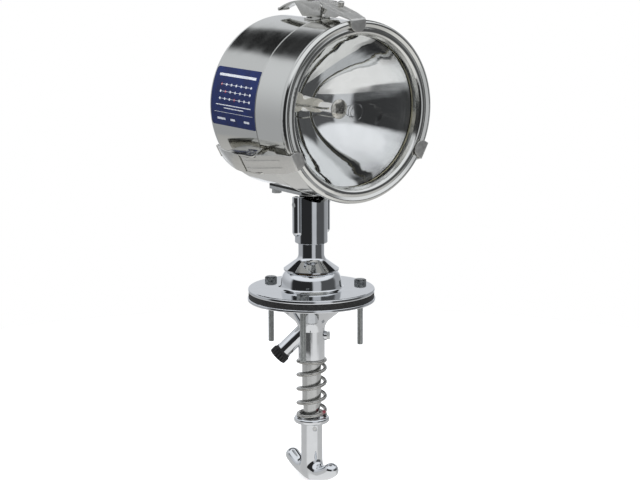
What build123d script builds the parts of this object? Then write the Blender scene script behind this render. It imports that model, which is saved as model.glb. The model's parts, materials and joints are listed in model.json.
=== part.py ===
"""Through-deck searchlight with a push, pull and turn handle below the deck.

Millimetres, +Z up, the beam along +X. The origin is the centre of the lower flange's
underside, the face that lies against whatever the studs are fastened to.
"""
from build123d import *
import math
import os

os.makedirs("parts", exist_ok=True)

# Clearances
run_gap = 0.05       # radial, between a shaft and its bearing bore
seat_gap = 0.02      # radial, between two fixed round faces
free_gap = 0.3       # between faces that pass or lie beside each other
tight_gap = 0.05     # between a spring end and what it bears on

# Deck flanges, gasket and bolts
under_out = 0.5
under_t = 3.0
under_edge = 1.0
gasket_set = 0.5
gasket_hole_r = 26.0
gasket_t = 5.0
flange_r = 60.0
flange_t = 4.0
flange_edge = 1.4
bolt_inset = 10.0
bolt_count = 3
bolt_turn = 75.2
bolt_r = 3.0
bolt_len = 60.0
bolt_thread_set = 0.05
bolt_head_af = 10.0
bolt_head_h = 4.0
bolt_head_chamfer = 0.5
bolt_tip_chamfer = 0.5

gasket_z = under_t
flange_z = gasket_z + gasket_t
deck_top = flange_z + flange_t
under_r = flange_r + under_out
gasket_r = flange_r - gasket_set
bolt_circle_r = flange_r - bolt_inset

# Dome on the deck flange
dome_r = 29.0
dome_shoulder_r = 28.3
dome_top_r = 24.5
dome_wall_h = 8.0
dome_h = 16.0
dome_skin = 3.5
dome_foot = 3.5

# Spindle, push rod and bushes
spindle_r = 9.1
rod_r = 8.0
rod_bore_r = 6.0
rod_gap = 0.1
bush_wall = 2.9
bush_flange_r = 16.0
bush_flange_t = 1.5
washer_t = 1.5
window_w = 8.0
window_h = 24.0

dome_top = deck_top + dome_h
upper_bush_r = spindle_r + run_gap + bush_wall
washer_z = dome_top + bush_flange_t
turret_z = washer_z + washer_t

# Lower body with its cable branch and friction screw
body_r = 12.65
body_bore_r = 10.9
body_end = -57.0
flare_arc = 14.2
flare_z = -29.5
flare_turn = 50.0
bush_out = 3.0
lower_bush_len = 14.0
branch_turn = 234.2
branch_drop = 45.0
branch_z = -23.0
branch_r = 7.5
branch_bore_r = 5.4
branch_len = 37.0
nut_neck_r = 7.6
nut_neck_len = 5.0
nut_rim_r = 9.1
nut_rim_len = 4.5
nut_flutes = 18
nut_flute_r = 0.7
nut_lip_t = 1.0
cable_r = 3.3
grommet_len = 12.0
friction_turn = 54.2
friction_z = -35.0
friction_boss_r = 4.6
friction_boss_out = 1.7
friction_screw_r = 2.0
friction_head_af = 7.0
friction_head_h = 3.2

# Bell cover
bell_lip_r = 26.2
bell_lip_h = 1.2
bell_drop = 1.5
bell_cone_r = 15.9
bell_cone_rise = 8.6
bell_neck_r = 12.25
bell_neck_rise = 15.0
bell_h = 26.0
bell_skin = 1.6
bell_hub_r = 14.0

# Socket, its side ribs and the tilt pivot
socket_r = 15.5
socket_bore_r = 12.9
socket_floor = 18.5
socket_edge = 0.6
ear_top_rise = 44.5
side_rib_r = 4.8
side_rib_offset = 15.9
side_rib_foot = 11.5
pivot_rise = 37.5
pivot_r = 2.5
tilt_limit = 25.0
grub_r = 2.0
grub_turns = (120.0, 200.0)
grub_rise = 10.0

socket_z = turret_z + bell_h - bush_flange_t
pivot_z = socket_z + pivot_rise
ear_top = socket_z + ear_top_rise
spindle_top = socket_z + socket_floor

# Spindle's lower end and its clip
spindle_end = -101.5
clip_t = 1.2
clip_r = 10.9

# Tilt plate under the lamp housing, its lugs and its slotted lever
plate_w = 30.0
plate_t = 3.0
plate_over_pivot = 9.0
plate_rear = -47.0
plate_front = 16.0
lug_t = 4.0
lug_inner = 6.0
lug_r = 5.0
lever_arm = 8.0
lever_pin_r = 1.75
lever_slot_gap = 0.25
lever_t = 5.0
lever_h = 8.0
lever_tail = 2.8
fork_cheek_t = 2.5
fork_base_t = 3.0
fork_base_r = 11.4
fork_drop = 11.0
fork_stub = 12.0

plate_z = pivot_z + plate_over_pivot
plate_top = plate_z + plate_t

# Lamp housing
pad_t = 1.0
drum_r = 80.0
drum_wall = 1.5
drum_rear = -55.0
drum_corner = 9.0
drum_crown = 4.0
drum_front = 62.0
plate_bolt_x = -42.0
plate_bolt_y = 10.0
plate_bolt_r = 2.5
plate_bolt_af = 8.0
plate_bolt_head = 4.0
plate_nut_h = 4.0
plate_nut_lift = 3.0
plate_bolt_tail = 1.0
plate_screw_x = 9.5
plate_screw_y = 8.5
plate_screw_r = 2.0
plate_screw_head_r = 3.5
plate_screw_head = 2.4
lead_hole_x = 9.0
lead_hole_r = 4.0
lead_r = 2.6

head_z = plate_top + pad_t + drum_r

# Bezel
sleeve_wall = 1.2
sleeve_rear = 27.0
bead_x = 72.3
bead_out = 3.3
bead_roll = 3.6
bezel_skin = 1.5
swell_len = 5.5
swell_mid = 2.6
swell_share = 0.75
hollow_set = 1.4
hollow_in = 2.6
roll_set = 0.9
roll_start = 4.0
crest_set = 0.5
crest_in = 6.4
roll_end_set = 2.6
roll_end = 9.2
throat_back = 3.0

# Sealed beam lamp
lamp_gap = 5.5
rim_cover = 4.0
seat_x = 54.5
seat_t = 2.0
seat_lip = 6.0
seat_clear = 1.0
rim_t = 3.5
lens_t = 3.5
lens_crown = 5.0
crown_clear = 0.5
boss_r = 8.0
boss_h = 0.6
gasket_ring_t = 2.0
bowl_ledge = 4.0
reflector_deep = 50.0
reflector_wall = 2.5
bowl_steps = 8
post_r = 0.9
post_spread = 9.0
post_reach = 23.0
post_bend = 1.4
post_neck = 4.0
filament_r = 1.6
filament_end = 1.0
shield_r = 9.0
shield_t = 0.8
shield_out = 12.0
shield_cup = 2.5
shield_strap_w = 2.4
shield_strap_from = 1.0
terminal_r = 4.0
terminal_len = 6.0
connector_w = 34.0
connector_h = 14.0
connector_t = 9.0
connector_corner = 3.5

# Data plate
label_from = -46.5
label_to = 25.8
label_turn_from = 258.5
label_turn_to = 297.3
label_t = 0.5
label_corner = 3.0

# Latches: angles from straight up, turning towards +Y; w is the height over the drum
latch_turns = {"top": 357.5, "right": 119.0, "left": 242.0}
locked_place = "top"
latch_w = 20.0
latch_sheet = 1.6
axle_x = 31.0
axle_w = 11.7
claw_back = 6.0
claw_dip = 0.5
latch_pin_r = 1.6
lever_tip_x = -38.0
lever_tip_w = 6.8
lever_tip_bead_r = 1.5
lever_tip_half = 5.5
lever_crest_x = 14.0
lever_crest_w = 17.5
lever_taper_x = -3.0
cheek_foot_w = 3.6
cheek_foot_x = 5.5
cheek_rear_x = -6.5
cheek_nose = 5.5
cheek_toe_x = 35.0
claw_tail_gap = 1.5
claw_tail_w = 16.7
claw_crest_x = 27.0
claw_crest_w = 16.8
claw_full_gap = 6.5
claw_ear_r = 3.0
claw_ear_rear = 5.4
claw_ear_front = 4.2
flange_x = 45.0
flange_end_x = 63.0
flange_foot_x = 55.0
flange_foot_w = 5.0
hook_gap = 0.7
hook_w = 4.2
hook_foot_w = -7.0
hook_half = 8.0
hook_fillet_r = 1.7
hook_corner = 7.2
claw_rib_y = 4.0
claw_rib_h = 0.5
claw_rib_w = 1.4
claw_rib_from = 19.0
claw_rib_to = 62.0
bracket_from = 3.0
bracket_to = 26.0
bracket_sheet = 1.4
bracket_half = 6.5
bracket_ear_y = 5.8
bracket_ear_r = 2.6
bracket_ear_foot = 11.0
rivet_r = 1.6
rivet_head_r = 2.6
rivet_head_h = 1.1
rivet_x = 7.0
rivet_y = 3.2
rivet_tail = 1.2
lock_screw_x = 45.0
lock_screw_y = 5.0
lock_screw_r = 2.9
lock_screw_h = 4.5
lock_screw_chamfer = 0.6
lock_shank_r = 1.5
lock_shank_len = 5.0

# Handle
collar_top = -114.0
collar_t = 6.0
collar_r = 17.0
collar_edge = 2.7
stem_r = 10.2
handle_bore = 36.0
bar_z = -170.0
bar_r = 6.9
bar_half = 31.5
bar_rise = 9.4
handle_pin_r = 2.0
handle_pin_drop = 10.5
handle_pin_turn = 340.7

# Return spring
wire_r = 1.75
coil_r = 13.0
coil_pitch = 13.85
coil_start = 51.0
ease_from = 0.5
ease_to = 0.9
least_coil_gap = 0.4

head_plane = Plane(origin=(0, 0, head_z), x_dir=(1, 0, 0), z_dir=(0, -1, 0))
head_axis = Axis((0, 0, head_z), (1, 0, 0))
pivot_plane = Plane(origin=(0, 0, pivot_z), x_dir=(1, 0, 0), z_dir=(0, -1, 0))


def save(piece, name):
    """Label a finished piece and write it as a STEP file."""
    piece.part.label = name
    export_step(piece.part, f"parts/{name}.step")


def radial_plane(turn, z, drop=0.0):
    """A plane on the Z axis whose normal points outwards at an azimuth, tipped down by drop."""
    a = math.radians(turn)
    d = math.radians(drop)
    out = (math.cos(a) * math.cos(d), math.sin(a) * math.cos(d), -math.sin(d))
    return Plane(origin=(0, 0, z), x_dir=(-math.sin(a), math.cos(a), 0), z_dir=out)


def drum_plane(turn):
    """A plane through the lamp axis: local x along the beam, local y outwards at an angle."""
    a = math.radians(turn)
    return Plane(origin=(0, 0, head_z), x_dir=(1, 0, 0), z_dir=(0, -math.cos(a), math.sin(a)))


def skin_plane(turn):
    """A plane at the lamp axis: local x along the beam, its normal outwards at an angle."""
    a = math.radians(turn)
    return Plane(origin=(0, 0, head_z), x_dir=(1, 0, 0), z_dir=(0, math.sin(a), math.cos(a)))


def rim_edges(piece, radius):
    """The circular edges of a piece that have one radius."""
    rings = piece.edges().filter_by(GeomType.CIRCLE)
    return rings.filter_by(lambda edge: abs(edge.radius - radius) < 1e-4)


# Deck flange: plate and dome, hollow below, bored for the upper bush
with BuildPart() as deck_flange:
    with BuildSketch(Plane.XZ):
        with BuildLine():
            Polyline(
                (dome_top_r, dome_top),
                (upper_bush_r + seat_gap, dome_top),
                (upper_bush_r + seat_gap, flange_z),
                (flange_r, flange_z),
                (flange_r, deck_top),
                (dome_r, deck_top),
                (dome_shoulder_r, deck_top + dome_wall_h),
            )
            TangentArc(
                (dome_shoulder_r, deck_top + dome_wall_h),
                (dome_top_r, dome_top),
                tangent=(dome_shoulder_r - dome_r, dome_wall_h),
            )
        make_face()
    revolve(axis=Axis.Z)
    fillet(rim_edges(deck_flange, dome_r), dome_foot)
    with BuildSketch(Plane.XY.offset(flange_z)):
        Circle(dome_top_r - dome_skin)
        Circle(upper_bush_r + dome_skin, mode=Mode.SUBTRACT)
    extrude(amount=flange_t + dome_h - dome_skin, mode=Mode.SUBTRACT)
    with BuildSketch(Plane.XY.offset(flange_z)):
        with PolarLocations(bolt_circle_r, bolt_count, start_angle=bolt_turn):
            Circle(bolt_r + free_gap)
    extrude(amount=flange_t, mode=Mode.SUBTRACT)
    fillet(rim_edges(deck_flange, flange_r), flange_edge)
save(deck_flange, "deck_flange")

with BuildPart() as deck_gasket:
    with BuildSketch(Plane.XY.offset(gasket_z)):
        Circle(gasket_r)
        Circle(gasket_hole_r, mode=Mode.SUBTRACT)
        with PolarLocations(bolt_circle_r, bolt_count, start_angle=bolt_turn):
            Circle(bolt_r + free_gap, mode=Mode.SUBTRACT)
    extrude(amount=gasket_t)
save(deck_gasket, "deck_gasket")

with BuildPart() as mounting_bolts:
    with BuildSketch(Plane.XY.offset(deck_top)):
        with PolarLocations(bolt_circle_r, bolt_count, start_angle=bolt_turn):
            RegularPolygon(bolt_head_af / 2, 6, major_radius=False)
    extrude(amount=bolt_head_h)
    chamfer(mounting_bolts.edges().group_by(Axis.Z)[-1], bolt_head_chamfer)
    with BuildSketch(Plane.XY.offset(deck_top)):
        with PolarLocations(bolt_circle_r, bolt_count, start_angle=bolt_turn):
            Circle(bolt_r)
    extrude(amount=-deck_top)
    with BuildSketch():
        with PolarLocations(bolt_circle_r, bolt_count, start_angle=bolt_turn):
            Circle(bolt_r - bolt_thread_set)
    extrude(amount=deck_top - bolt_len)
    chamfer(mounting_bolts.edges().group_by(Axis.Z)[0], bolt_tip_chamfer)
save(mounting_bolts, "mounting_bolts")

# Lower flange, flare, body tube, cable branch and friction boss in one casting
flare_a = math.radians(flare_turn)
flare_top_r = body_r + flare_arc * (1 - math.cos(flare_a))
flare_top_z = flare_z + flare_arc * math.sin(flare_a)
flare_foot_r = flare_top_r - flare_top_z * math.tan(flare_a)
branch_plane = radial_plane(branch_turn, branch_z, branch_drop)
friction_plane = radial_plane(friction_turn, friction_z)

with BuildPart() as lower_flange:
    with BuildSketch(Plane.XZ):
        with BuildLine():
            Polyline(
                (body_r, flare_z),
                (body_r, body_end),
                (body_bore_r, body_end),
                (body_bore_r, under_t),
                (under_r, under_t),
                (under_r, 0),
                (flare_foot_r, 0),
                (flare_top_r, flare_top_z),
            )
            TangentArc((body_r, flare_z), (flare_top_r, flare_top_z), tangent=(0, 1))
        make_face()
    revolve(axis=Axis.Z)
    with BuildSketch(branch_plane):
        Circle(branch_r)
    extrude(amount=branch_len)
    with BuildSketch(friction_plane):
        Circle(friction_boss_r)
    extrude(amount=body_r + friction_boss_out)
    with BuildSketch(Plane.XY.offset(body_end)):
        Circle(body_bore_r)
    extrude(amount=under_t - body_end, mode=Mode.SUBTRACT)
    with BuildSketch(branch_plane):
        Circle(branch_bore_r)
    extrude(amount=branch_len, mode=Mode.SUBTRACT)
    with BuildSketch(friction_plane):
        Circle(friction_screw_r + seat_gap)
    extrude(amount=2 * body_r, mode=Mode.SUBTRACT)
    with BuildSketch():
        with PolarLocations(bolt_circle_r, bolt_count, start_angle=bolt_turn):
            Circle(bolt_r + seat_gap)
    extrude(amount=under_t, mode=Mode.SUBTRACT)
    fillet(rim_edges(lower_flange, under_r), under_edge)
save(lower_flange, "lower_flange")

# Cable gland: a fluted nut on the branch's mouth and the rubber grommet that it squeezes
nut_start = branch_plane.offset(branch_len)
with BuildPart() as gland_nut:
    with BuildSketch(nut_start):
        Circle(nut_neck_r)
    extrude(amount=nut_neck_len)
    with BuildSketch(nut_start.offset(nut_neck_len)):
        Circle(nut_rim_r)
        with PolarLocations(nut_rim_r, nut_flutes):
            Circle(nut_flute_r, mode=Mode.SUBTRACT)
    extrude(amount=nut_rim_len)
    with BuildSketch(nut_start):
        Circle(branch_bore_r)
    extrude(amount=nut_neck_len + nut_rim_len - nut_lip_t, mode=Mode.SUBTRACT)
    with BuildSketch(nut_start):
        Circle(cable_r + free_gap)
    extrude(amount=nut_neck_len + nut_rim_len, mode=Mode.SUBTRACT)
save(gland_nut, "gland_nut")

grommet_end = branch_plane.offset(branch_len + nut_neck_len + nut_rim_len - nut_lip_t)
with BuildPart() as gland_grommet:
    with BuildSketch(grommet_end):
        Circle(branch_bore_r - seat_gap)
        Circle(cable_r, mode=Mode.SUBTRACT)
    extrude(amount=-grommet_len)
save(gland_grommet, "gland_grommet")

# Bushes, washer and clip that carry the spindle
with BuildPart() as upper_bush:
    with BuildSketch(Plane.XY.offset(flange_z)):
        Circle(upper_bush_r)
        Circle(spindle_r + run_gap, mode=Mode.SUBTRACT)
    extrude(amount=dome_top - flange_z)
    with BuildSketch(Plane.XY.offset(dome_top)):
        Circle(bush_flange_r)
        Circle(spindle_r + run_gap, mode=Mode.SUBTRACT)
    extrude(amount=bush_flange_t)
save(upper_bush, "upper_bush")

with BuildPart() as lower_bush:
    with BuildSketch(Plane.XY.offset(body_end - bush_out)):
        Circle(body_bore_r - seat_gap)
        Circle(spindle_r + run_gap, mode=Mode.SUBTRACT)
    extrude(amount=lower_bush_len)
save(lower_bush, "lower_bush")

with BuildPart() as thrust_washer:
    with BuildSketch(Plane.XY.offset(washer_z)):
        Circle(bell_hub_r)
        Circle(spindle_r + seat_gap, mode=Mode.SUBTRACT)
    extrude(amount=washer_t)
save(thrust_washer, "thrust_washer")

with BuildPart() as spindle_clip:
    with BuildSketch(Plane.XY.offset(body_end - bush_out - run_gap)):
        Circle(clip_r)
        Circle(spindle_r + seat_gap, mode=Mode.SUBTRACT)
    extrude(amount=-clip_t)
save(spindle_clip, "spindle_clip")

# Friction screw and the pad that it presses on the spindle
with BuildPart() as friction_screw:
    with BuildSketch(friction_plane.offset(body_r + friction_boss_out)):
        RegularPolygon(friction_head_af / 2, 6, major_radius=False)
    extrude(amount=friction_head_h)
    with BuildSketch(friction_plane.offset(body_bore_r)):
        Circle(friction_screw_r)
    extrude(amount=body_r + friction_boss_out - body_bore_r)
save(friction_screw, "friction_screw")

with BuildPart() as friction_pad:
    with BuildSketch(friction_plane.offset(spindle_r + run_gap)):
        Circle(friction_screw_r)
    extrude(amount=body_bore_r - spindle_r - run_gap)
save(friction_pad, "friction_pad")

# Spindle tube, with a window for the lead
window_z = branch_z - spindle_r / math.tan(math.radians(branch_drop))
window_plane = radial_plane(branch_turn, window_z)
with BuildPart() as spindle_tube:
    with BuildSketch(Plane.XY.offset(spindle_end)):
        Circle(spindle_r)
        Circle(rod_r + rod_gap, mode=Mode.SUBTRACT)
    extrude(amount=spindle_top - spindle_end)
    with BuildSketch(window_plane):
        SlotOverall(window_h, window_w, rotation=90)
    extrude(amount=2 * spindle_r, mode=Mode.SUBTRACT)
save(spindle_tube, "spindle_tube")

# Bell cover: lip, cone and neck outside, hub and hollow inside
bell_z = turret_z - bell_drop
bell_top = socket_z
with BuildPart() as bell_cover:
    with BuildSketch(Plane.XZ):
        with BuildLine():
            Polyline(
                (spindle_r + seat_gap, bell_top),
                (spindle_r + seat_gap, turret_z),
                (bell_hub_r, turret_z),
                (bell_lip_r - bell_skin, bell_z),
                (bell_lip_r, bell_z),
                (bell_lip_r, bell_z + bell_lip_h),
                (bell_cone_r, bell_z + bell_cone_rise),
            )
            TangentArc(
                (bell_neck_r, bell_z + bell_neck_rise),
                (bell_cone_r, bell_z + bell_cone_rise),
                tangent=(0, -1),
            )
            Polyline(
                (bell_neck_r, bell_z + bell_neck_rise),
                (bell_neck_r, bell_top),
                (spindle_r + seat_gap, bell_top),
            )
        make_face()
    revolve(axis=Axis.Z)
save(bell_cover, "bell_cover")

# Socket: its roof falls away on both sides so that the plate can tilt
tilt_a = math.radians(tilt_limit)
roof_peak = pivot_z + plate_over_pivot / math.cos(tilt_a) - free_gap
roof_eave = roof_peak - 2 * socket_r * math.tan(tilt_a)
with BuildPart() as socket:
    with BuildSketch(Plane.XY.offset(socket_z)):
        Circle(socket_r)
    extrude(amount=ear_top - socket_z)
    chamfer(socket.edges().group_by(Axis.Z)[0], socket_edge)
    with Locations(*[(0, side * side_rib_offset, socket_z + side_rib_foot) for side in (-1, 1)]):
        Sphere(side_rib_r)
    with BuildSketch(Plane.XY.offset(socket_z + side_rib_foot)):
        with Locations((0, -side_rib_offset), (0, side_rib_offset)):
            Circle(side_rib_r)
    extrude(amount=ear_top - socket_z - side_rib_foot)
    with BuildSketch(Plane.XY.offset(spindle_top)):
        Circle(socket_bore_r)
    extrude(amount=ear_top - spindle_top, mode=Mode.SUBTRACT)
    with BuildSketch(Plane.XY.offset(socket_z)):
        Circle(spindle_r + seat_gap)
    extrude(amount=spindle_top - socket_z, mode=Mode.SUBTRACT)
    with BuildSketch(Plane.XZ):
        with BuildLine():
            Polyline(
                (0, roof_peak),
                (2 * socket_r, roof_eave),
                (2 * socket_r, 2 * roof_peak),
                (-2 * socket_r, 2 * roof_peak),
                (-2 * socket_r, roof_eave),
                close=True,
            )
        make_face()
    extrude(amount=2 * socket_r, both=True, mode=Mode.SUBTRACT)
    with BuildSketch(pivot_plane):
        Circle(pivot_r + seat_gap)
    extrude(amount=2 * socket_r, both=True, mode=Mode.SUBTRACT)
    for grub_turn in grub_turns:
        with BuildSketch(radial_plane(grub_turn, socket_z + grub_rise)):
            Circle(grub_r + seat_gap)
        extrude(amount=2 * socket_r, mode=Mode.SUBTRACT)
save(socket, "socket")

with BuildPart() as socket_screws:
    for grub_turn in grub_turns:
        with BuildSketch(radial_plane(grub_turn, socket_z + grub_rise).offset(spindle_r + seat_gap)):
            Circle(grub_r)
        extrude(amount=socket_r - spindle_r - free_gap)
save(socket_screws, "socket_screws")

with BuildPart() as tilt_pin:
    with BuildSketch(pivot_plane):
        Circle(pivot_r)
    extrude(amount=side_rib_offset + side_rib_r - free_gap, both=True)
save(tilt_pin, "tilt_pin")

# Tilt plate: saddle plate, two lugs on the pivot pin and the lever that the rod works
lever_tail_x = lever_arm + lever_tail
with BuildPart() as tilt_plate:
    with BuildSketch(Plane.XY.offset(plate_z)):
        with Locations((plate_rear, 0)):
            Rectangle(plate_front - plate_w / 2 - plate_rear, plate_w, align=(Align.MIN, Align.CENTER))
        with Locations((plate_front - plate_w / 2, 0)):
            Circle(plate_w / 2)
        with Locations((plate_bolt_x, -plate_bolt_y), (plate_bolt_x, plate_bolt_y)):
            Circle(plate_bolt_r + seat_gap, mode=Mode.SUBTRACT)
        with Locations((plate_screw_x, -plate_screw_y), (plate_screw_x, plate_screw_y)):
            Circle(plate_screw_r + seat_gap, mode=Mode.SUBTRACT)
        with Locations((lead_hole_x, 0)):
            Circle(lead_hole_r + seat_gap, mode=Mode.SUBTRACT)
    extrude(amount=plate_t)
    for side in (-1, 1):
        with BuildSketch(pivot_plane.offset(side * (lug_inner + lug_t / 2))):
            Circle(lug_r)
            Rectangle(2 * lug_r, plate_over_pivot, align=(Align.CENTER, Align.MIN))
        extrude(amount=lug_t / 2, both=True)
    with BuildSketch(pivot_plane):
        Circle(lug_r)
        Rectangle(2 * lug_r, plate_over_pivot, align=(Align.CENTER, Align.MIN))
        Rectangle(lever_tail_x, lever_h, align=(Align.MAX, Align.CENTER))
        with Locations((-lever_arm + lever_pin_r + lever_slot_gap, 0)):
            Rectangle(
                lever_tail_x,
                2 * (lever_pin_r + lever_slot_gap),
                align=(Align.MAX, Align.CENTER),
                mode=Mode.SUBTRACT,
            )
    extrude(amount=lever_t / 2, both=True)
    with BuildSketch(pivot_plane):
        Circle(pivot_r + run_gap)
    extrude(amount=lug_inner + lug_t, both=True, mode=Mode.SUBTRACT)
save(tilt_plate, "tilt_plate")

# Push rod, its fork, the fork's pin and the handle
rod_bottom = collar_top - handle_bore
rod_top = pivot_z - fork_drop - fork_base_t
with BuildPart() as push_rod:
    with BuildSketch(Plane.XY.offset(rod_bottom)):
        Circle(rod_r)
        Circle(rod_bore_r, mode=Mode.SUBTRACT)
    extrude(amount=rod_top - rod_bottom)
    with BuildSketch(window_plane):
        SlotOverall(window_h, window_w, rotation=90)
    extrude(amount=2 * spindle_r, mode=Mode.SUBTRACT)
    with BuildSketch(radial_plane(handle_pin_turn, collar_top - handle_pin_drop)):
        Circle(handle_pin_r + seat_gap)
    extrude(amount=2 * rod_r, both=True, mode=Mode.SUBTRACT)
save(push_rod, "push_rod")

fork_inner = lever_t / 2 + free_gap
with BuildPart() as rod_fork:
    with BuildSketch(Plane.XY.offset(rod_top)):
        Circle(rod_bore_r - seat_gap)
    extrude(amount=-fork_stub)
    with BuildSketch(Plane.XY.offset(rod_top)):
        Circle(fork_base_r)
    extrude(amount=fork_base_t)
    for side in (-1, 1):
        with BuildSketch(pivot_plane.offset(side * (fork_inner + fork_cheek_t / 2))):
            with Locations((-lever_arm, 0)):
                Circle(lever_tail)
                Rectangle(2 * lever_tail, fork_drop, align=(Align.CENTER, Align.MAX))
        extrude(amount=fork_cheek_t / 2, both=True)
    with BuildSketch(pivot_plane):
        with Locations((-lever_arm, 0)):
            Circle(lever_pin_r + seat_gap)
    extrude(amount=2 * fork_base_r, both=True, mode=Mode.SUBTRACT)
    with BuildSketch(Plane.XY.offset(rod_top - fork_stub)):
        with Locations((lead_r, 0)):
            Circle(lead_r)
    extrude(amount=fork_stub + fork_base_t, mode=Mode.SUBTRACT)
save(rod_fork, "rod_fork")

with BuildPart() as fork_pin:
    with BuildSketch(pivot_plane):
        with Locations((-lever_arm, 0)):
            Circle(lever_pin_r)
    extrude(amount=fork_inner + fork_cheek_t, both=True)
save(fork_pin, "fork_pin")

bar_ends = [(-bar_half, bar_z + bar_rise), (bar_half, bar_z + bar_rise)]
with BuildPart() as handle:
    with BuildSketch(Plane.XY.offset(collar_top)):
        Circle(collar_r)
    extrude(amount=-collar_t)
    fillet(rim_edges(handle, collar_r), collar_edge)
    with BuildSketch(Plane.XY.offset(collar_top)):
        Circle(stem_r)
    extrude(amount=bar_z + stem_r - bar_r / 2 - collar_top)
    with Locations((0, 0, bar_z + stem_r - bar_r / 2)):
        Sphere(stem_r)
    with BuildLine(Plane.XZ) as bar_line:
        ThreePointArc(bar_ends[0], (0, bar_z), bar_ends[1])
    with BuildSketch(Plane(origin=bar_line.line @ 0, z_dir=bar_line.line % 0)):
        Circle(bar_r)
    sweep(path=bar_line.line)
    with Locations(*[(x, 0, z) for x, z in bar_ends]):
        Sphere(bar_r)
    with BuildSketch(Plane.XY.offset(collar_top)):
        Circle(rod_r + seat_gap)
    extrude(amount=-handle_bore, mode=Mode.SUBTRACT)
    with BuildSketch(radial_plane(handle_pin_turn, collar_top - handle_pin_drop)):
        Circle(handle_pin_r + seat_gap)
    extrude(amount=2 * stem_r, both=True, mode=Mode.SUBTRACT)
save(handle, "handle")

with BuildPart() as handle_pin:
    with BuildSketch(radial_plane(handle_pin_turn, collar_top - handle_pin_drop)):
        Circle(handle_pin_r)
    extrude(amount=stem_r - free_gap / 2, both=True)
save(handle_pin, "handle_pin")

# Return spring: a right-hand helix that flattens at both ends
coil_bottom = collar_top + tight_gap + wire_r
coil_top = body_end - tight_gap - wire_r
flat_turns = (ease_from + ease_to) / 2
coil_turns = (coil_top - coil_bottom) / coil_pitch + 2 * flat_turns


def eased_rise(turn):
    """Turns' worth of climb from a flat end, with the pitch growing over the eased stretch."""
    if turn <= ease_from:
        return 0.0
    if turn >= ease_to:
        return turn - flat_turns
    return (turn - ease_from) ** 2 / (2 * (ease_to - ease_from))


def eased_slope(turn):
    """The share of the full pitch at a distance from the nearest flat end."""
    return min(max((turn - ease_from) / (ease_to - ease_from), 0.0), 1.0)


def coil_point(turn):
    """A point of the wire's centre line, in turns from the lower end."""
    a = math.radians(coil_start + 360 * turn)
    if turn < coil_turns / 2:
        z = coil_bottom + coil_pitch * eased_rise(turn)
    else:
        z = coil_top - coil_pitch * eased_rise(coil_turns - turn)
    return Vector(coil_r * math.cos(a), coil_r * math.sin(a), z)


def coil_tangent(turn):
    """The wire's direction at the same place."""
    a = math.radians(coil_start + 360 * turn)
    slope = eased_slope(min(turn, coil_turns - turn)) * coil_pitch / (2 * math.pi)
    return Vector(-coil_r * math.sin(a), coil_r * math.cos(a), slope).normalized()


def biarc_joint(p0, t0, p1, t1):
    """Where two arcs meet that leave p0 along t0 and reach p1 along t1, and the tangent there."""
    v = p1 - p0
    t = t0 + t1
    a = 2 * (1 - t0.dot(t1))
    b = 2 * v.dot(t)
    c = -v.dot(v)
    d = (-b + math.sqrt(b * b - 4 * a * c)) / (2 * a)
    joint = (p0 + p1 + (t0 - t1) * d) * 0.5
    tangent = (p1 - t1 * d) - (p0 + t0 * d)
    return joint, tangent.normalized()


quarters = math.ceil(4 * coil_turns)
stops = [coil_turns * i / quarters for i in range(quarters + 1)]
with BuildPart() as return_spring:
    with BuildLine() as coil_line:
        for start, stop in zip(stops, stops[1:]):
            p_start = coil_point(start)
            p_stop = coil_point(stop)
            meet, along = biarc_joint(p_start, coil_tangent(start), p_stop, coil_tangent(stop))
            TangentArc(p_start, meet, tangent=coil_tangent(start))
            TangentArc(meet, p_stop, tangent=along)
    with BuildSketch(Plane(origin=coil_point(0), z_dir=coil_tangent(0))):
        Circle(wire_r)
    sweep(path=coil_line.wire())
save(return_spring, "return_spring")

probe = [coil_line.wire() @ (i / 800) for i in range(801)]
half_turn = int(400 / coil_turns)
gap = min(
    (probe[i] - probe[j]).length - 2 * wire_r
    for i in range(len(probe))
    for j in range(i + half_turn, len(probe))
)
print(f"spring turns {coil_turns:.2f}, least gap between turns {gap:.2f} mm, wanted over {least_coil_gap}")

# Saddle pad, plate fasteners and lead grommet
with BuildPart() as saddle_pad:
    with BuildSketch(Plane.XY.offset(plate_top)):
        with Locations((plate_rear, 0)):
            Rectangle(plate_front - plate_w / 2 - plate_rear, plate_w, align=(Align.MIN, Align.CENTER))
        with Locations((plate_front - plate_w / 2, 0)):
            Circle(plate_w / 2)
        with Locations((plate_bolt_x, -plate_bolt_y), (plate_bolt_x, plate_bolt_y)):
            Circle(plate_bolt_r + seat_gap, mode=Mode.SUBTRACT)
        with Locations((plate_screw_x, -plate_screw_y), (plate_screw_x, plate_screw_y)):
            Circle(plate_screw_r + seat_gap, mode=Mode.SUBTRACT)
        with Locations((lead_hole_x, 0)):
            Circle(lead_hole_r + seat_gap, mode=Mode.SUBTRACT)
    extrude(amount=plate_w)
    with BuildSketch(Plane.YZ.offset(plate_rear)):
        with Locations((0, head_z)):
            Circle(drum_r)
            Rectangle(4 * drum_r, 2 * (drum_r - plate_w / 2), align=(Align.CENTER, Align.CENTER))
    extrude(amount=plate_front - plate_rear, mode=Mode.SUBTRACT)
save(saddle_pad, "saddle_pad")

nut_z = plate_top + pad_t + plate_nut_lift
with BuildPart() as plate_bolts:
    with BuildSketch(Plane.XY.offset(plate_z)):
        with Locations((plate_bolt_x, -plate_bolt_y), (plate_bolt_x, plate_bolt_y)):
            RegularPolygon(plate_bolt_af / 2, 6, major_radius=False)
    extrude(amount=-plate_bolt_head)
    with BuildSketch(Plane.XY.offset(plate_z)):
        with Locations((plate_bolt_x, -plate_bolt_y), (plate_bolt_x, plate_bolt_y)):
            Circle(plate_bolt_r)
    extrude(amount=nut_z + plate_nut_h + plate_bolt_tail - plate_z)
save(plate_bolts, "plate_bolts")

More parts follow.
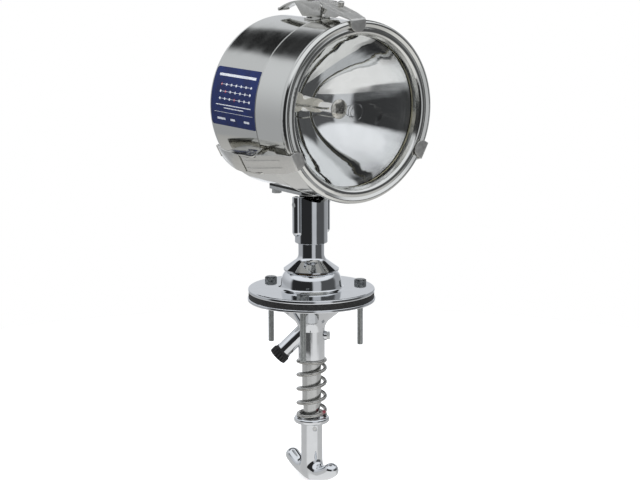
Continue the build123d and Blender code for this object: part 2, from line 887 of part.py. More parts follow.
with BuildPart() as plate_nuts:
    with BuildSketch(Plane.XY.offset(nut_z)):
        with Locations((plate_bolt_x, -plate_bolt_y), (plate_bolt_x, plate_bolt_y)):
            RegularPolygon(plate_bolt_af / 2, 6, major_radius=False)
            Circle(plate_bolt_r + seat_gap, mode=Mode.SUBTRACT)
    extrude(amount=plate_nut_h)
save(plate_nuts, "plate_nuts")

with BuildPart() as plate_screws:
    with BuildSketch(Plane.XY.offset(plate_z)):
        with Locations((plate_screw_x, -plate_screw_y), (plate_screw_x, plate_screw_y)):
            Circle(plate_screw_r)
    extrude(amount=nut_z - plate_z)
    with BuildSketch(Plane.XY.offset(nut_z)):
        with Locations((plate_screw_x, -plate_screw_y), (plate_screw_x, plate_screw_y)):
            Circle(plate_screw_head_r)
    extrude(amount=plate_screw_head)
save(plate_screws, "plate_screws")

with BuildPart() as lead_grommet:
    with BuildSketch(Plane.XY.offset(plate_z)):
        with Locations((lead_hole_x, 0)):
            Circle(lead_hole_r)
            Circle(lead_r, mode=Mode.SUBTRACT)
    extrude(amount=nut_z - plate_z)
save(lead_grommet, "lead_grommet")

# Lamp housing: a deep drum with a rounded shoulder and a slightly crowned back
drum_in = drum_r - drum_wall
lamp_r = drum_in - lamp_gap
opening_r = lamp_r - rim_cover
rivet_spots = [(rivet_x, -rivet_y), (rivet_x, rivet_y)]


def drum_outline(inset):
    """Half the drum's section, from the axis, drawn in by a wall."""
    back = drum_rear - drum_crown + inset
    shoulder_x = drum_rear + drum_corner
    Line((drum_front, 0), (back, 0))
    TangentArc((back, 0), (drum_rear + inset, drum_r - drum_corner), tangent=(0, 1))
    ThreePointArc(
        (drum_rear + inset, drum_r - drum_corner),
        (
            shoulder_x - (drum_corner - inset) * math.cos(math.pi / 4),
            drum_r - drum_corner + (drum_corner - inset) * math.sin(math.pi / 4),
        ),
        (shoulder_x, drum_r - inset),
    )
    Polyline((shoulder_x, drum_r - inset), (drum_front, drum_r - inset), (drum_front, 0))


with BuildPart() as housing:
    with BuildSketch(head_plane):
        with BuildLine():
            drum_outline(0)
        make_face()
    revolve(axis=head_axis)
    with BuildSketch(head_plane):
        with BuildLine():
            drum_outline(drum_wall)
        make_face()
    revolve(axis=head_axis, mode=Mode.SUBTRACT)
    with BuildSketch(Plane.XY.offset(plate_z)):
        with Locations((plate_bolt_x, -plate_bolt_y), (plate_bolt_x, plate_bolt_y)):
            Circle(plate_bolt_r + seat_gap)
        with Locations((plate_screw_x, -plate_screw_y), (plate_screw_x, plate_screw_y)):
            Circle(plate_screw_r + seat_gap)
        with Locations((lead_hole_x, 0)):
            Circle(lead_hole_r + seat_gap)
    extrude(amount=drum_r / 2, mode=Mode.SUBTRACT)
    for turn in latch_turns.values():
        with BuildSketch(skin_plane(turn)):
            with Locations(*rivet_spots):
                Circle(rivet_r + seat_gap)
        extrude(amount=drum_r + drum_wall, mode=Mode.SUBTRACT)
save(housing, "housing")

# Bezel: a sleeve over the drum's mouth, a rolled bead, a hollow and an inner roll with a lip
sleeve_in = drum_r + free_gap
sleeve_out = sleeve_in + sleeve_wall
bead_r = drum_r + bead_out
bead_mid = bead_r - bead_roll
seat_front = seat_x + seat_t
reflector_r = lamp_r - bowl_ledge
seat_hole_r = reflector_r + seat_clear
lens_edge_r = opening_r - crown_clear
lens_front = seat_front + rim_t + lens_t
lip_x = lens_front + gasket_ring_t
bead_front = bead_x + bead_roll
hollow = (bead_front - hollow_set, bead_mid - hollow_in)
roll_out = (bead_front - roll_set, bead_mid - roll_start)
roll_crest = (bead_front - crest_set, bead_mid - crest_in)
roll_in = (bead_front - roll_end_set, bead_mid - roll_end)
throat_x = roll_in[0] - throat_back
with BuildPart() as bezel:
    with BuildSketch(head_plane):
        with BuildLine():
            Polyline(
                (sleeve_rear, sleeve_in),
                (sleeve_rear, sleeve_out),
                (bead_x - swell_len, sleeve_out),
            )
            ThreePointArc(
                (bead_x - swell_len, sleeve_out),
                (bead_x - swell_mid, sleeve_out + swell_share * (bead_r - sleeve_out)),
                (bead_x, bead_r),
            )
            ThreePointArc(
                (bead_x, bead_r),
                (bead_x + bead_roll * math.sin(math.pi / 4), bead_mid + bead_roll * math.cos(math.pi / 4)),
                (bead_front, bead_mid),
            )
            Polyline((bead_front, bead_mid), hollow, roll_out)
            ThreePointArc(roll_out, roll_crest, roll_in)
            Polyline(
                roll_in,
                (throat_x, opening_r),
                (lip_x, opening_r),
                (lip_x, opening_r + bezel_skin),
                (throat_x - bezel_skin / 2, opening_r + bezel_skin),
                (roll_crest[0] - bezel_skin, roll_crest[1]),
                (hollow[0] - bezel_skin, hollow[1]),
                (bead_front - bezel_skin, bead_mid),
            )
            TangentArc(
                (bead_front - bezel_skin, bead_mid),
                (bead_x, bead_r - bezel_skin),
                tangent=(0, 1),
            )
            Polyline(
                (bead_x, bead_r - bezel_skin),
                (bead_x - swell_len, sleeve_in),
                (sleeve_rear, sleeve_in),
            )
        make_face()
    revolve(axis=head_axis)
save(bezel, "bezel")

# Sealed beam: seat ring, reflector bowl with its rim, lens, posts, filament, shield, terminals
with BuildPart() as lamp_seat:
    with BuildSketch(head_plane):
        with Locations((seat_x, seat_hole_r)):
            Rectangle(seat_t, drum_in - seat_gap - seat_hole_r, align=(Align.MIN, Align.MIN))
    revolve(axis=head_axis)
    with BuildSketch(head_plane):
        with Locations((seat_x - seat_lip, drum_in - seat_gap - drum_wall)):
            Rectangle(seat_lip, drum_wall, align=(Align.MIN, Align.MIN))
    revolve(axis=head_axis)
save(lamp_seat, "lamp_seat")

bowl_mouth = seat_front + rim_t
bowl_apex = bowl_mouth - reflector_deep
focal = reflector_r**2 / (4 * reflector_deep)
bowl_radii = [reflector_r * i / bowl_steps for i in range(bowl_steps + 1)]
bowl_points = [(bowl_apex + r**2 / (4 * focal), r) for r in bowl_radii]
rim_tangent = (reflector_r / (2 * focal), 1)
with BuildPart() as lamp_reflector:
    with BuildSketch(head_plane):
        with BuildLine():
            Spline(*bowl_points, tangents=[(0, 1), rim_tangent])
            Polyline(
                (bowl_mouth, reflector_r),
                (bowl_mouth, lamp_r),
                (seat_front, lamp_r),
                (seat_front, reflector_r),
            )
            Spline(
                (seat_front, reflector_r),
                *[(x - reflector_wall, r) for x, r in reversed(bowl_points[: bowl_steps - 1])],
                tangents=[(-rim_tangent[0], -1), (0, -1)],
            )
            Line((bowl_apex - reflector_wall, 0), (bowl_apex, 0))
        make_face()
    revolve(axis=head_axis)
    with BuildSketch(Plane.YZ.offset(bowl_apex - reflector_wall)):
        with Locations((-post_spread, head_z), (post_spread, head_z)):
            Circle(post_r + seat_gap)
    extrude(amount=4 * reflector_wall, mode=Mode.SUBTRACT)
save(lamp_reflector, "lamp_reflector")

with BuildPart() as lamp_lens:
    with BuildSketch(head_plane):
        with BuildLine():
            Line((bowl_mouth + lens_crown, 0), (bowl_mouth + lens_crown + lens_t, 0))
            TangentArc(
                (bowl_mouth + lens_crown + lens_t, 0), (lens_front, lens_edge_r), tangent=(0, 1)
            )
            Polyline(
                (lens_front, lens_edge_r),
                (lens_front, lamp_r),
                (bowl_mouth, lamp_r),
                (bowl_mouth, reflector_r),
            )
            TangentArc((bowl_mouth + lens_crown, 0), (bowl_mouth, reflector_r), tangent=(0, 1))
        make_face()
    revolve(axis=head_axis)
    with BuildSketch(Plane.YZ.offset(bowl_mouth + lens_crown + lens_t / 2)):
        with Locations((0, head_z)):
            Circle(boss_r)
    extrude(amount=lens_t / 2 + boss_h)
save(lamp_lens, "lamp_lens")

with BuildPart() as lens_gasket:
    with BuildSketch(head_plane):
        with Locations((lens_front, opening_r)):
            Rectangle(gasket_ring_t, lamp_r - opening_r, align=(Align.MIN, Align.MIN))
    revolve(axis=head_axis)
save(lens_gasket, "lens_gasket")

filament_x = bowl_apex + post_reach
with BuildPart() as lamp_posts:
    for side in (-1, 1):
        with BuildLine() as post_line:
            FilletPolyline(
                (bowl_apex - reflector_wall - terminal_len / 2, side * post_spread, head_z),
                (filament_x - post_neck, side * post_spread, head_z),
                (filament_x, side * (filament_r + post_neck), head_z),
                (filament_x, side * (filament_r + filament_end), head_z),
                radius=post_bend,
            )
        with BuildSketch(Plane(origin=post_line.line @ 0, z_dir=post_line.line % 0)):
            Circle(post_r)
        sweep(path=post_line.line)
save(lamp_posts, "lamp_posts")

with BuildPart() as lamp_filament:
    with BuildSketch(Plane.XZ.offset(-filament_r - filament_end)):
        with Locations((filament_x, head_z)):
            Circle(filament_r)
    extrude(amount=2 * (filament_r + filament_end))
save(lamp_filament, "lamp_filament")

shield_x = filament_x + shield_out
shield_edge_x = shield_x - shield_cup
with BuildPart() as lamp_shield:
    with BuildSketch(head_plane):
        with BuildLine():
            Line((shield_x, 0), (shield_x + shield_t, 0))
            TangentArc(
                (shield_x + shield_t, 0),
                (shield_edge_x + shield_t, shield_r),
                tangent=(0, 1),
            )
            Line((shield_edge_x + shield_t, shield_r), (shield_edge_x, shield_r))
            TangentArc((shield_x, 0), (shield_edge_x, shield_r), tangent=(0, 1))
        make_face()
    revolve(axis=head_axis)
    with BuildSketch(Plane.YZ.offset(bowl_apex + shield_strap_from)):
        with Locations((0, head_z - shield_r + shield_t)):
            Rectangle(shield_strap_w, shield_t)
    extrude(amount=shield_edge_x + shield_t - bowl_apex - shield_strap_from)
save(lamp_shield, "lamp_shield")

with BuildPart() as lamp_terminals:
    with BuildSketch(Plane.YZ.offset(bowl_apex - reflector_wall)):
        with Locations((-post_spread, head_z), (post_spread, head_z)):
            Circle(terminal_r)
            Circle(post_r + seat_gap, mode=Mode.SUBTRACT)
    extrude(amount=-terminal_len)
save(lamp_terminals, "lamp_terminals")

with BuildPart() as lamp_connector:
    with BuildSketch(Plane.YZ.offset(bowl_apex - reflector_wall - connector_t)):
        with Locations((0, head_z)):
            RectangleRounded(connector_w, connector_h, connector_corner)
    extrude(amount=connector_t - free_gap)
    with BuildSketch(Plane.YZ.offset(bowl_apex - reflector_wall - terminal_len - free_gap)):
        with Locations((-post_spread, head_z), (post_spread, head_z)):
            Circle(terminal_r + seat_gap)
    extrude(amount=terminal_len + free_gap, mode=Mode.SUBTRACT)
save(lamp_connector, "lamp_connector")

# Data plate: a thin curved sheet with rounded corners, rolled to the drum
with BuildPart() as data_plate:
    with BuildSketch(drum_plane(label_turn_from)):
        with Locations((label_from, drum_r + seat_gap)):
            Rectangle(label_to - label_from, label_t, align=(Align.MIN, Align.MIN))
    revolve(axis=head_axis, revolution_arc=label_turn_from - label_turn_to)
    corners = data_plate.edges().filter_by(lambda edge: abs(edge.length - label_t) < 1e-3)
    fillet(corners, label_corner)
save(data_plate, "data_plate")


# Latches: one function for each piece, run for each place round the drum
claw_x = axle_x - claw_back
claw_w = axle_w - claw_dip
lever_bow = ((lever_crest_x - lever_tip_x) ** 2 + (lever_crest_w - lever_tip_w) ** 2) / (
    2 * (lever_crest_w - lever_tip_w)
)
claw_tail_x = lever_crest_x + claw_tail_gap
claw_full_x = axle_x + claw_full_gap
cheek_in = latch_w / 2 - latch_sheet
tongue_half = cheek_in - free_gap
hook_x = bead_front + hook_gap + latch_sheet / 2
claw_fall = (claw_crest_w - hook_w) / (hook_x - claw_crest_x)


def over_drum(x, w):
    """A point in a latch's plane, from its height over the drum."""
    return (x, drum_r + w)


def lever_line(x):
    """Height of the lever's arched sheet."""
    return lever_crest_w - lever_bow + math.sqrt(lever_bow**2 - (x - lever_crest_x) ** 2)


def claw_line(x):
    """Height of the claw strap's sloping part."""
    return claw_crest_w - claw_fall * (x - claw_crest_x)


def lock_screw_plane(turn):
    """The plane under the thumb screw's head, on the claw's ribs and square to its strap."""
    plane = drum_plane(turn)
    slope = math.atan(claw_fall)
    normal = plane.x_dir * math.sin(slope) + plane.y_dir * math.cos(slope)
    spot = plane.from_local_coords(Vector(lock_screw_x, drum_r + claw_line(lock_screw_x), -lock_screw_y))
    lift = latch_sheet / 2 + claw_rib_h
    return Plane(origin=spot + normal * lift, x_dir=plane.z_dir, z_dir=normal)


def trim_to_plan(turn, *half_outline):
    """Keep what lies inside a plan outline, given from one end to the other on one side."""
    with BuildSketch(skin_plane(turn).offset(drum_r / 2)) as plan:
        with BuildLine():
            Polyline(*half_outline, *[(x, -y) for x, y in reversed(half_outline)], close=True)
        make_face()
    extrude(plan.sketch, amount=drum_r, mode=Mode.INTERSECT)


def make_lever(turn):
    """The arched lever: a sheet strip with a rolled tip and two cheeks at the hinge."""
    plane = drum_plane(turn)
    with BuildPart() as lever:
        with BuildSketch(plane):
            with BuildLine():
                TangentArc(
                    over_drum(lever_crest_x, lever_crest_w),
                    over_drum(lever_tip_x, lever_tip_w),
                    tangent=(-1, 0),
                )
            trace(line_width=latch_sheet)
            with Locations(over_drum(lever_tip_x, lever_tip_w)):
                Circle(lever_tip_bead_r)
        extrude(amount=latch_w / 2, both=True)
        for side in (-1, 1):
            with BuildSketch(plane.offset(side * (cheek_in + latch_sheet / 2))):
                with BuildLine():
                    Polyline(
                        over_drum(axle_x + cheek_nose, axle_w),
                        over_drum(cheek_toe_x, cheek_foot_w),
                        over_drum(cheek_foot_x, cheek_foot_w),
                        over_drum(cheek_rear_x, lever_line(cheek_rear_x)),
                    )
                    Spline(
                        over_drum(cheek_rear_x, lever_line(cheek_rear_x)),
                        over_drum(cheek_rear_x / 2, lever_line(cheek_rear_x / 2)),
                        over_drum(lever_crest_x, lever_crest_w),
                        over_drum(axle_x, axle_w + cheek_nose),
                    )
                    ThreePointArc(
                        over_drum(axle_x, axle_w + cheek_nose),
                        over_drum(
                            axle_x + cheek_nose * math.sin(math.pi / 4),
                            axle_w + cheek_nose * math.cos(math.pi / 4),
                        ),
                        over_drum(axle_x + cheek_nose, axle_w),
                    )
                make_face()
                with Locations(over_drum(axle_x, axle_w)):
                    Circle(latch_pin_r + run_gap, mode=Mode.SUBTRACT)
                with Locations(over_drum(claw_x, claw_w)):
                    Circle(latch_pin_r + seat_gap, mode=Mode.SUBTRACT)
            extrude(amount=latch_sheet / 2, both=True)
        trim_to_plan(
            turn,
            (lever_tip_x - 2 * lever_tip_bead_r, lever_tip_half),
            (lever_taper_x, latch_w / 2),
            (axle_x + 2 * cheek_nose, latch_w / 2),
        )
    return lever


def make_claw(turn, tapped):
    """The claw: a ribbed strap with ears on the lever's pin and a hook over the bezel's bead."""
    plane = drum_plane(turn)
    strap = [
        over_drum(claw_tail_x, claw_tail_w),
        over_drum(claw_crest_x, claw_crest_w),
        over_drum(hook_x, hook_w),
        over_drum(hook_x, hook_foot_w),
    ]
    rib = [
        over_drum(claw_rib_from, claw_tail_w + claw_rib_h / 2),
        over_drum(claw_crest_x, claw_crest_w),
        over_drum(claw_rib_to, claw_line(claw_rib_to)),
    ]
    with BuildPart() as claw:
        with BuildSketch(plane):
            with BuildLine():
                FilletPolyline(*strap, radius=hook_fillet_r)
            trace(line_width=latch_sheet)
        extrude(amount=latch_w / 2, both=True)
        for side in (-1, 1):
            with BuildSketch(plane.offset(side * (cheek_in + latch_sheet / 2))):
                with BuildLine():
                    Polyline(
                        over_drum(flange_x, claw_line(flange_x)),
                        over_drum(flange_x, flange_foot_w),
                        over_drum(flange_foot_x, flange_foot_w),
                        over_drum(flange_end_x, claw_line(flange_end_x)),
                        close=True,
                    )
                make_face()
            extrude(amount=latch_sheet / 2, both=True)
            with BuildSketch(plane.offset(side * claw_rib_y)):
                with BuildLine():
                    Polyline(*rib)
                trace(line_width=latch_sheet + 2 * claw_rib_h)
            extrude(amount=claw_rib_w / 2, both=True)
        trim_to_plan(
            turn,
            (claw_tail_x - latch_sheet, tongue_half),
            (claw_full_x, tongue_half),
            (claw_full_x, latch_w / 2),
            (flange_end_x, latch_w / 2),
            (hook_x - 2 * hook_fillet_r, hook_half),
            (hook_x + 2 * hook_fillet_r, hook_half),
        )
        for side in (-1, 1):
            with BuildSketch(plane.offset(side * (tongue_half - latch_sheet / 2))):
                with BuildLine():
                    Polyline(
                        over_drum(claw_x - claw_ear_rear, claw_tail_w),
                        over_drum(claw_x - claw_ear_r, claw_w),
                        over_drum(claw_x + claw_ear_r, claw_w),
                        over_drum(claw_x + claw_ear_front, claw_tail_w),
                        close=True,
                    )
                make_face()
                with Locations(over_drum(claw_x, claw_w)):
                    Circle(claw_ear_r)
                    Circle(latch_pin_r + run_gap, mode=Mode.SUBTRACT)
            extrude(amount=latch_sheet / 2, both=True)
        foot = claw.edges().filter_by(lambda edge: abs(edge.length - latch_sheet) < 1e-3)
        foot = foot.filter_by(lambda edge: abs((edge @ 0.5).X - hook_x) < 1e-3)
        fillet(foot, hook_corner)
        if tapped:
            with BuildSketch(lock_screw_plane(turn)):
                Circle(lock_shank_r + seat_gap)
            extrude(amount=-lock_shank_len, mode=Mode.SUBTRACT)
    return claw


def make_bracket(turn):
    """The bracket: a plate riveted to the drum with two ears for the hinge pin."""
    plane = drum_plane(turn)
    with BuildPart() as bracket:
        with BuildSketch(skin_plane(turn).offset(drum_r + seat_gap)):
            with Locations((bracket_from, 0)):
                Rectangle(bracket_to - bracket_from, 2 * bracket_half, align=(Align.MIN, Align.CENTER))
            with Locations(*rivet_spots):
                Circle(rivet_r + seat_gap, mode=Mode.SUBTRACT)
        extrude(amount=bracket_sheet - seat_gap)
        for side in (-1, 1):
            with BuildSketch(plane.offset(side * (bracket_ear_y - bracket_sheet / 2))):
                with BuildLine():
                    Polyline(
                        over_drum(axle_x - bracket_ear_r, axle_w),
                        over_drum(bracket_to - bracket_ear_foot, bracket_sheet / 2),
                        over_drum(bracket_to, bracket_sheet / 2),
                        over_drum(axle_x + bracket_ear_r, axle_w),
                        close=True,
                    )
                make_face()
                with Locations(over_drum(axle_x, axle_w)):
                    Circle(bracket_ear_r)
                    Circle(latch_pin_r + seat_gap, mode=Mode.SUBTRACT)
            extrude(amount=bracket_sheet / 2, both=True)
    return bracket


for place, turn in latch_turns.items():
    save(make_bracket(turn), f"{place}_latch_bracket")
    save(make_lever(turn), f"{place}_latch_lever")
    save(make_claw(turn, place == locked_place), f"{place}_latch_claw")
    with BuildPart() as claw_pin:
        with BuildSketch(drum_plane(turn)):
            with Locations(over_drum(claw_x, claw_w)):
                Circle(latch_pin_r)
        extrude(amount=latch_w / 2, both=True)
    save(claw_pin, f"{place}_claw_pin")

# Thumb screw through one claw's strap
lock_plane = lock_screw_plane(latch_turns[locked_place])
with BuildPart() as lock_screw:
    with BuildSketch(lock_plane):
        Circle(lock_screw_r)
    extrude(amount=lock_screw_h)
    chamfer(rim_edges(lock_screw, lock_screw_r), lock_screw_chamfer)
    with BuildSketch(lock_plane):
        Circle(lock_shank_r)
    extrude(amount=-lock_shank_len)
save(lock_screw, f"{locked_place}_latch_screw")

with BuildPart() as latch_hinge_pins:
    for turn in latch_turns.values():
        with BuildSketch(drum_plane(turn)):
            with Locations(over_drum(axle_x, axle_w)):
                Circle(latch_pin_r)
        extrude(amount=latch_w / 2 + free_gap, both=True)
save(latch_hinge_pins, "latch_hinge_pins")

with BuildPart() as bracket_rivets:
    for turn in latch_turns.values():
        inside = skin_plane(turn).offset(drum_in - free_gap - rivet_tail)
        with BuildSketch(inside):
            with Locations(*rivet_spots):
                Circle(rivet_head_r)
        extrude(amount=rivet_tail)
        with BuildSketch(inside):
            with Locations(*rivet_spots):
                Circle(rivet_r)
        extrude(amount=rivet_tail + free_gap + drum_wall + bracket_sheet)
        with BuildSketch(skin_plane(turn).offset(drum_r + bracket_sheet)):
            with Locations(*rivet_spots):
                Circle(rivet_head_r)
        extrude(amount=rivet_head_h)
save(bracket_rivets, "bracket_rivets")
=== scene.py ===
"""A polished through-deck searchlight in a pale studio.

Metres, +Z up, the beam along +X, the pan axis on Z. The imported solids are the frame. Pieces that
need finer surfaces than the solids have are worked out below as functions on grids. The finishes
come first, then the camera and the studio, then the pieces, and last the calls that make them.
"""

import json
import math

import bmesh
import bpy
import numpy as np
from mathutils import Matrix, Vector


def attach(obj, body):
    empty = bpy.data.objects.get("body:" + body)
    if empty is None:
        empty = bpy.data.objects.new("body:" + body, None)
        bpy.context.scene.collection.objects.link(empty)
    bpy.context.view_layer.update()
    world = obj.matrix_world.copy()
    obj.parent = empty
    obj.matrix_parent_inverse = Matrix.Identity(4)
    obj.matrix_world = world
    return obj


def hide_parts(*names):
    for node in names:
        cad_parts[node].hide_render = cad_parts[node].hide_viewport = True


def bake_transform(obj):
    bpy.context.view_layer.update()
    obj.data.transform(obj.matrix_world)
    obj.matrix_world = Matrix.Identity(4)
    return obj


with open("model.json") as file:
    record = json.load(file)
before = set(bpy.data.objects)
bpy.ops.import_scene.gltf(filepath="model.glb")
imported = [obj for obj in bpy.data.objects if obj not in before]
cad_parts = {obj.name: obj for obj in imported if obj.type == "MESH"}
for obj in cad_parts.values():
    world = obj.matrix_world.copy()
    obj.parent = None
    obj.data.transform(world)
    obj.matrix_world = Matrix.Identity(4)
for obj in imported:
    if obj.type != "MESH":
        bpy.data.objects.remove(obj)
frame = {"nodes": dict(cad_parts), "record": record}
scene = bpy.context.scene
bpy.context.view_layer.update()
nodes = frame["nodes"]

MM = 0.001
HEAD_Z = 0.186      # height of the drum's axis, where the beam runs

# Where the photograph's camera stood and how it was aimed, in degrees. It was fitted to the flange,
# the studs and the bezel
CAMERA_AT = (1.5008, -1.0822, 0.4174)
LOOK_AZIMUTH = 53.95
LOOK_DROP = 11.01
LOOK_ROLL = -0.10
FOCAL_MM = 112.5
SENSOR_MM = 36.0


def linear(hex_colour):
    """An sRGB hex colour as a linear RGBA tuple."""
    values = [int(hex_colour[i:i + 2], 16) / 255 for i in (1, 3, 5)]
    parts = [v / 12.92 if v <= 0.04045 else ((v + 0.055) / 1.055) ** 2.4 for v in values]
    return (*parts, 1.0)


def add_node(tree, kind, inputs=None, **settings):
    """Adds a node, applies its settings, and sets or links each input named in a dict."""
    node = tree.nodes.new("ShaderNode" + kind)
    for key, value in settings.items():
        setattr(node, key, value)
    for key, value in (inputs or {}).items():
        if isinstance(value, bpy.types.NodeSocket):
            tree.links.new(value, node.inputs[key])
        else:
            node.inputs[key].default_value = value
    return node


def mottled(name, colours, rough, patch_mm, bump_mm=0.0, grain_mm=0.5, stretch=(1, 1, 1),
            **sockets):
    """A finish whose colour and roughness wander between two values over patches of a real size. A
    grain is raised in it, and is drawn out along each axis whose stretch is below one. The other
    sockets of the shader are constants."""
    material = bpy.data.materials.new(name)
    material.use_nodes = True
    tree = material.node_tree
    tree.nodes.clear()
    low, high = (linear(c) for c in colours)
    shader = add_node(tree, "BsdfPrincipled", {"Base Color": low, "Roughness": rough[0], **sockets})
    place = add_node(tree, "TexCoord").outputs["Object"]
    patch = add_node(tree, "TexNoise", {
        "Vector": place, "Scale": 1 / (patch_mm * MM), "Detail": 3.0})
    share = add_node(tree, "MapRange", {
        "Value": patch.outputs["Fac"], "From Min": 0.3, "From Max": 0.7},
        interpolation_type="SMOOTHSTEP")
    if rough[0] != rough[1]:
        gloss = add_node(tree, "MapRange", {
            "Value": share.outputs["Result"], "To Min": rough[0], "To Max": rough[1]})
        tree.links.new(gloss.outputs["Result"], shader.inputs["Roughness"])
    if low != high:
        colour = add_node(tree, "Mix", {0: share.outputs["Result"], 6: low, 7: high},
                          data_type="RGBA")
        tree.links.new(colour.outputs[2], shader.inputs["Base Color"])
    if bump_mm:
        drawn = add_node(tree, "Mapping", {"Vector": place, "Scale": stretch})
        grain = add_node(tree, "TexNoise", {
            "Vector": drawn.outputs["Vector"], "Scale": 1 / (grain_mm * MM), "Detail": 2.0})
        raised = add_node(tree, "Bump", {"Height": grain.outputs["Fac"], "Distance": bump_mm * MM})
        tree.links.new(raised.outputs["Normal"], shader.inputs["Normal"])
    output = add_node(tree, "OutputMaterial")
    tree.links.new(shader.outputs["BSDF"], output.inputs["Surface"])
    return material


def spun(name, colour, rough, line_mm=0.5, wave_mm=38.0, wave_depth_mm=0.22):
    """Sheet spun round the beam: fine rings in it blur the reflection, and slow waves bend it. The
    rings are a noise over the place along the beam and the distance from it."""
    # The roughness that a ring adds, and its depth as a share of a wave's
    ring_blur, ring_share = 0.06, 0.0025
    material = mottled(name, (colour, colour), (rough, rough + 0.04), 14.0, Metallic=1.0)
    tree = material.node_tree
    shader = tree.nodes["Principled BSDF"]
    gloss = shader.inputs["Roughness"].links[0].from_socket
    place = add_node(tree, "Mapping", {
        "Vector": add_node(tree, "TexCoord").outputs["Object"], "Location": (0, 0, -HEAD_Z)})
    split = add_node(tree, "SeparateXYZ", {"Vector": place.outputs["Vector"]})
    # The rings flatten out within 3 mm of the beam's axis
    across = add_node(tree, "CombineXYZ", {
        "X": 3 * MM, "Y": split.outputs["Y"], "Z": split.outputs["Z"]})
    out = add_node(tree, "VectorMath", {0: across.outputs["Vector"]}, operation="LENGTH")
    ringed = add_node(tree, "CombineXYZ", {"X": split.outputs["X"], "Y": out.outputs["Value"]})
    lines = add_node(tree, "TexNoise", {
        "Vector": ringed.outputs["Vector"], "Scale": 1 / (line_mm * MM), "Detail": 3.0})
    dulled = add_node(tree, "Math", {0: lines.outputs["Fac"], 1: ring_blur, 2: gloss},
                      operation="MULTIPLY_ADD")
    tree.links.new(dulled.outputs["Value"], shader.inputs["Roughness"])
    waves = add_node(tree, "TexNoise", {
        "Vector": place.outputs["Vector"], "Scale": 1 / (wave_mm * MM), "Detail": 1.0})
    height = add_node(tree, "Math", {
        0: lines.outputs["Fac"], 1: ring_share, 2: waves.outputs["Fac"]}, operation="MULTIPLY_ADD")
    bent = add_node(tree, "Bump", {
        "Height": height.outputs["Value"], "Distance": wave_depth_mm * MM})
    tree.links.new(bent.outputs["Normal"], shader.inputs["Normal"])
    return material


def spring_wire():
    """Drawn stainless wire: a soft sheen. A dab of red paint covers the metal where the piece's
    attribute says."""
    material = mottled("drawn_spring_wire", ("#B4B3AF", "#C0BFBB"), (0.18, 0.30), 0.7, 0.004, 0.7)
    tree = material.node_tree
    shader = tree.nodes["Principled BSDF"]
    bare = shader.inputs["Base Color"].links[0].from_socket
    paint = add_node(tree, "Attribute", attribute_name="paint").outputs["Fac"]
    colour = add_node(tree, "Mix", {0: paint, 6: bare, 7: linear("#8E1F33")}, data_type="RGBA")
    tree.links.new(colour.outputs[2], shader.inputs["Base Color"])
    metal = add_node(tree, "Math", {0: 1.0, 1: paint}, operation="SUBTRACT", use_clamp=True)
    tree.links.new(metal.outputs["Value"], shader.inputs["Metallic"])
    return material


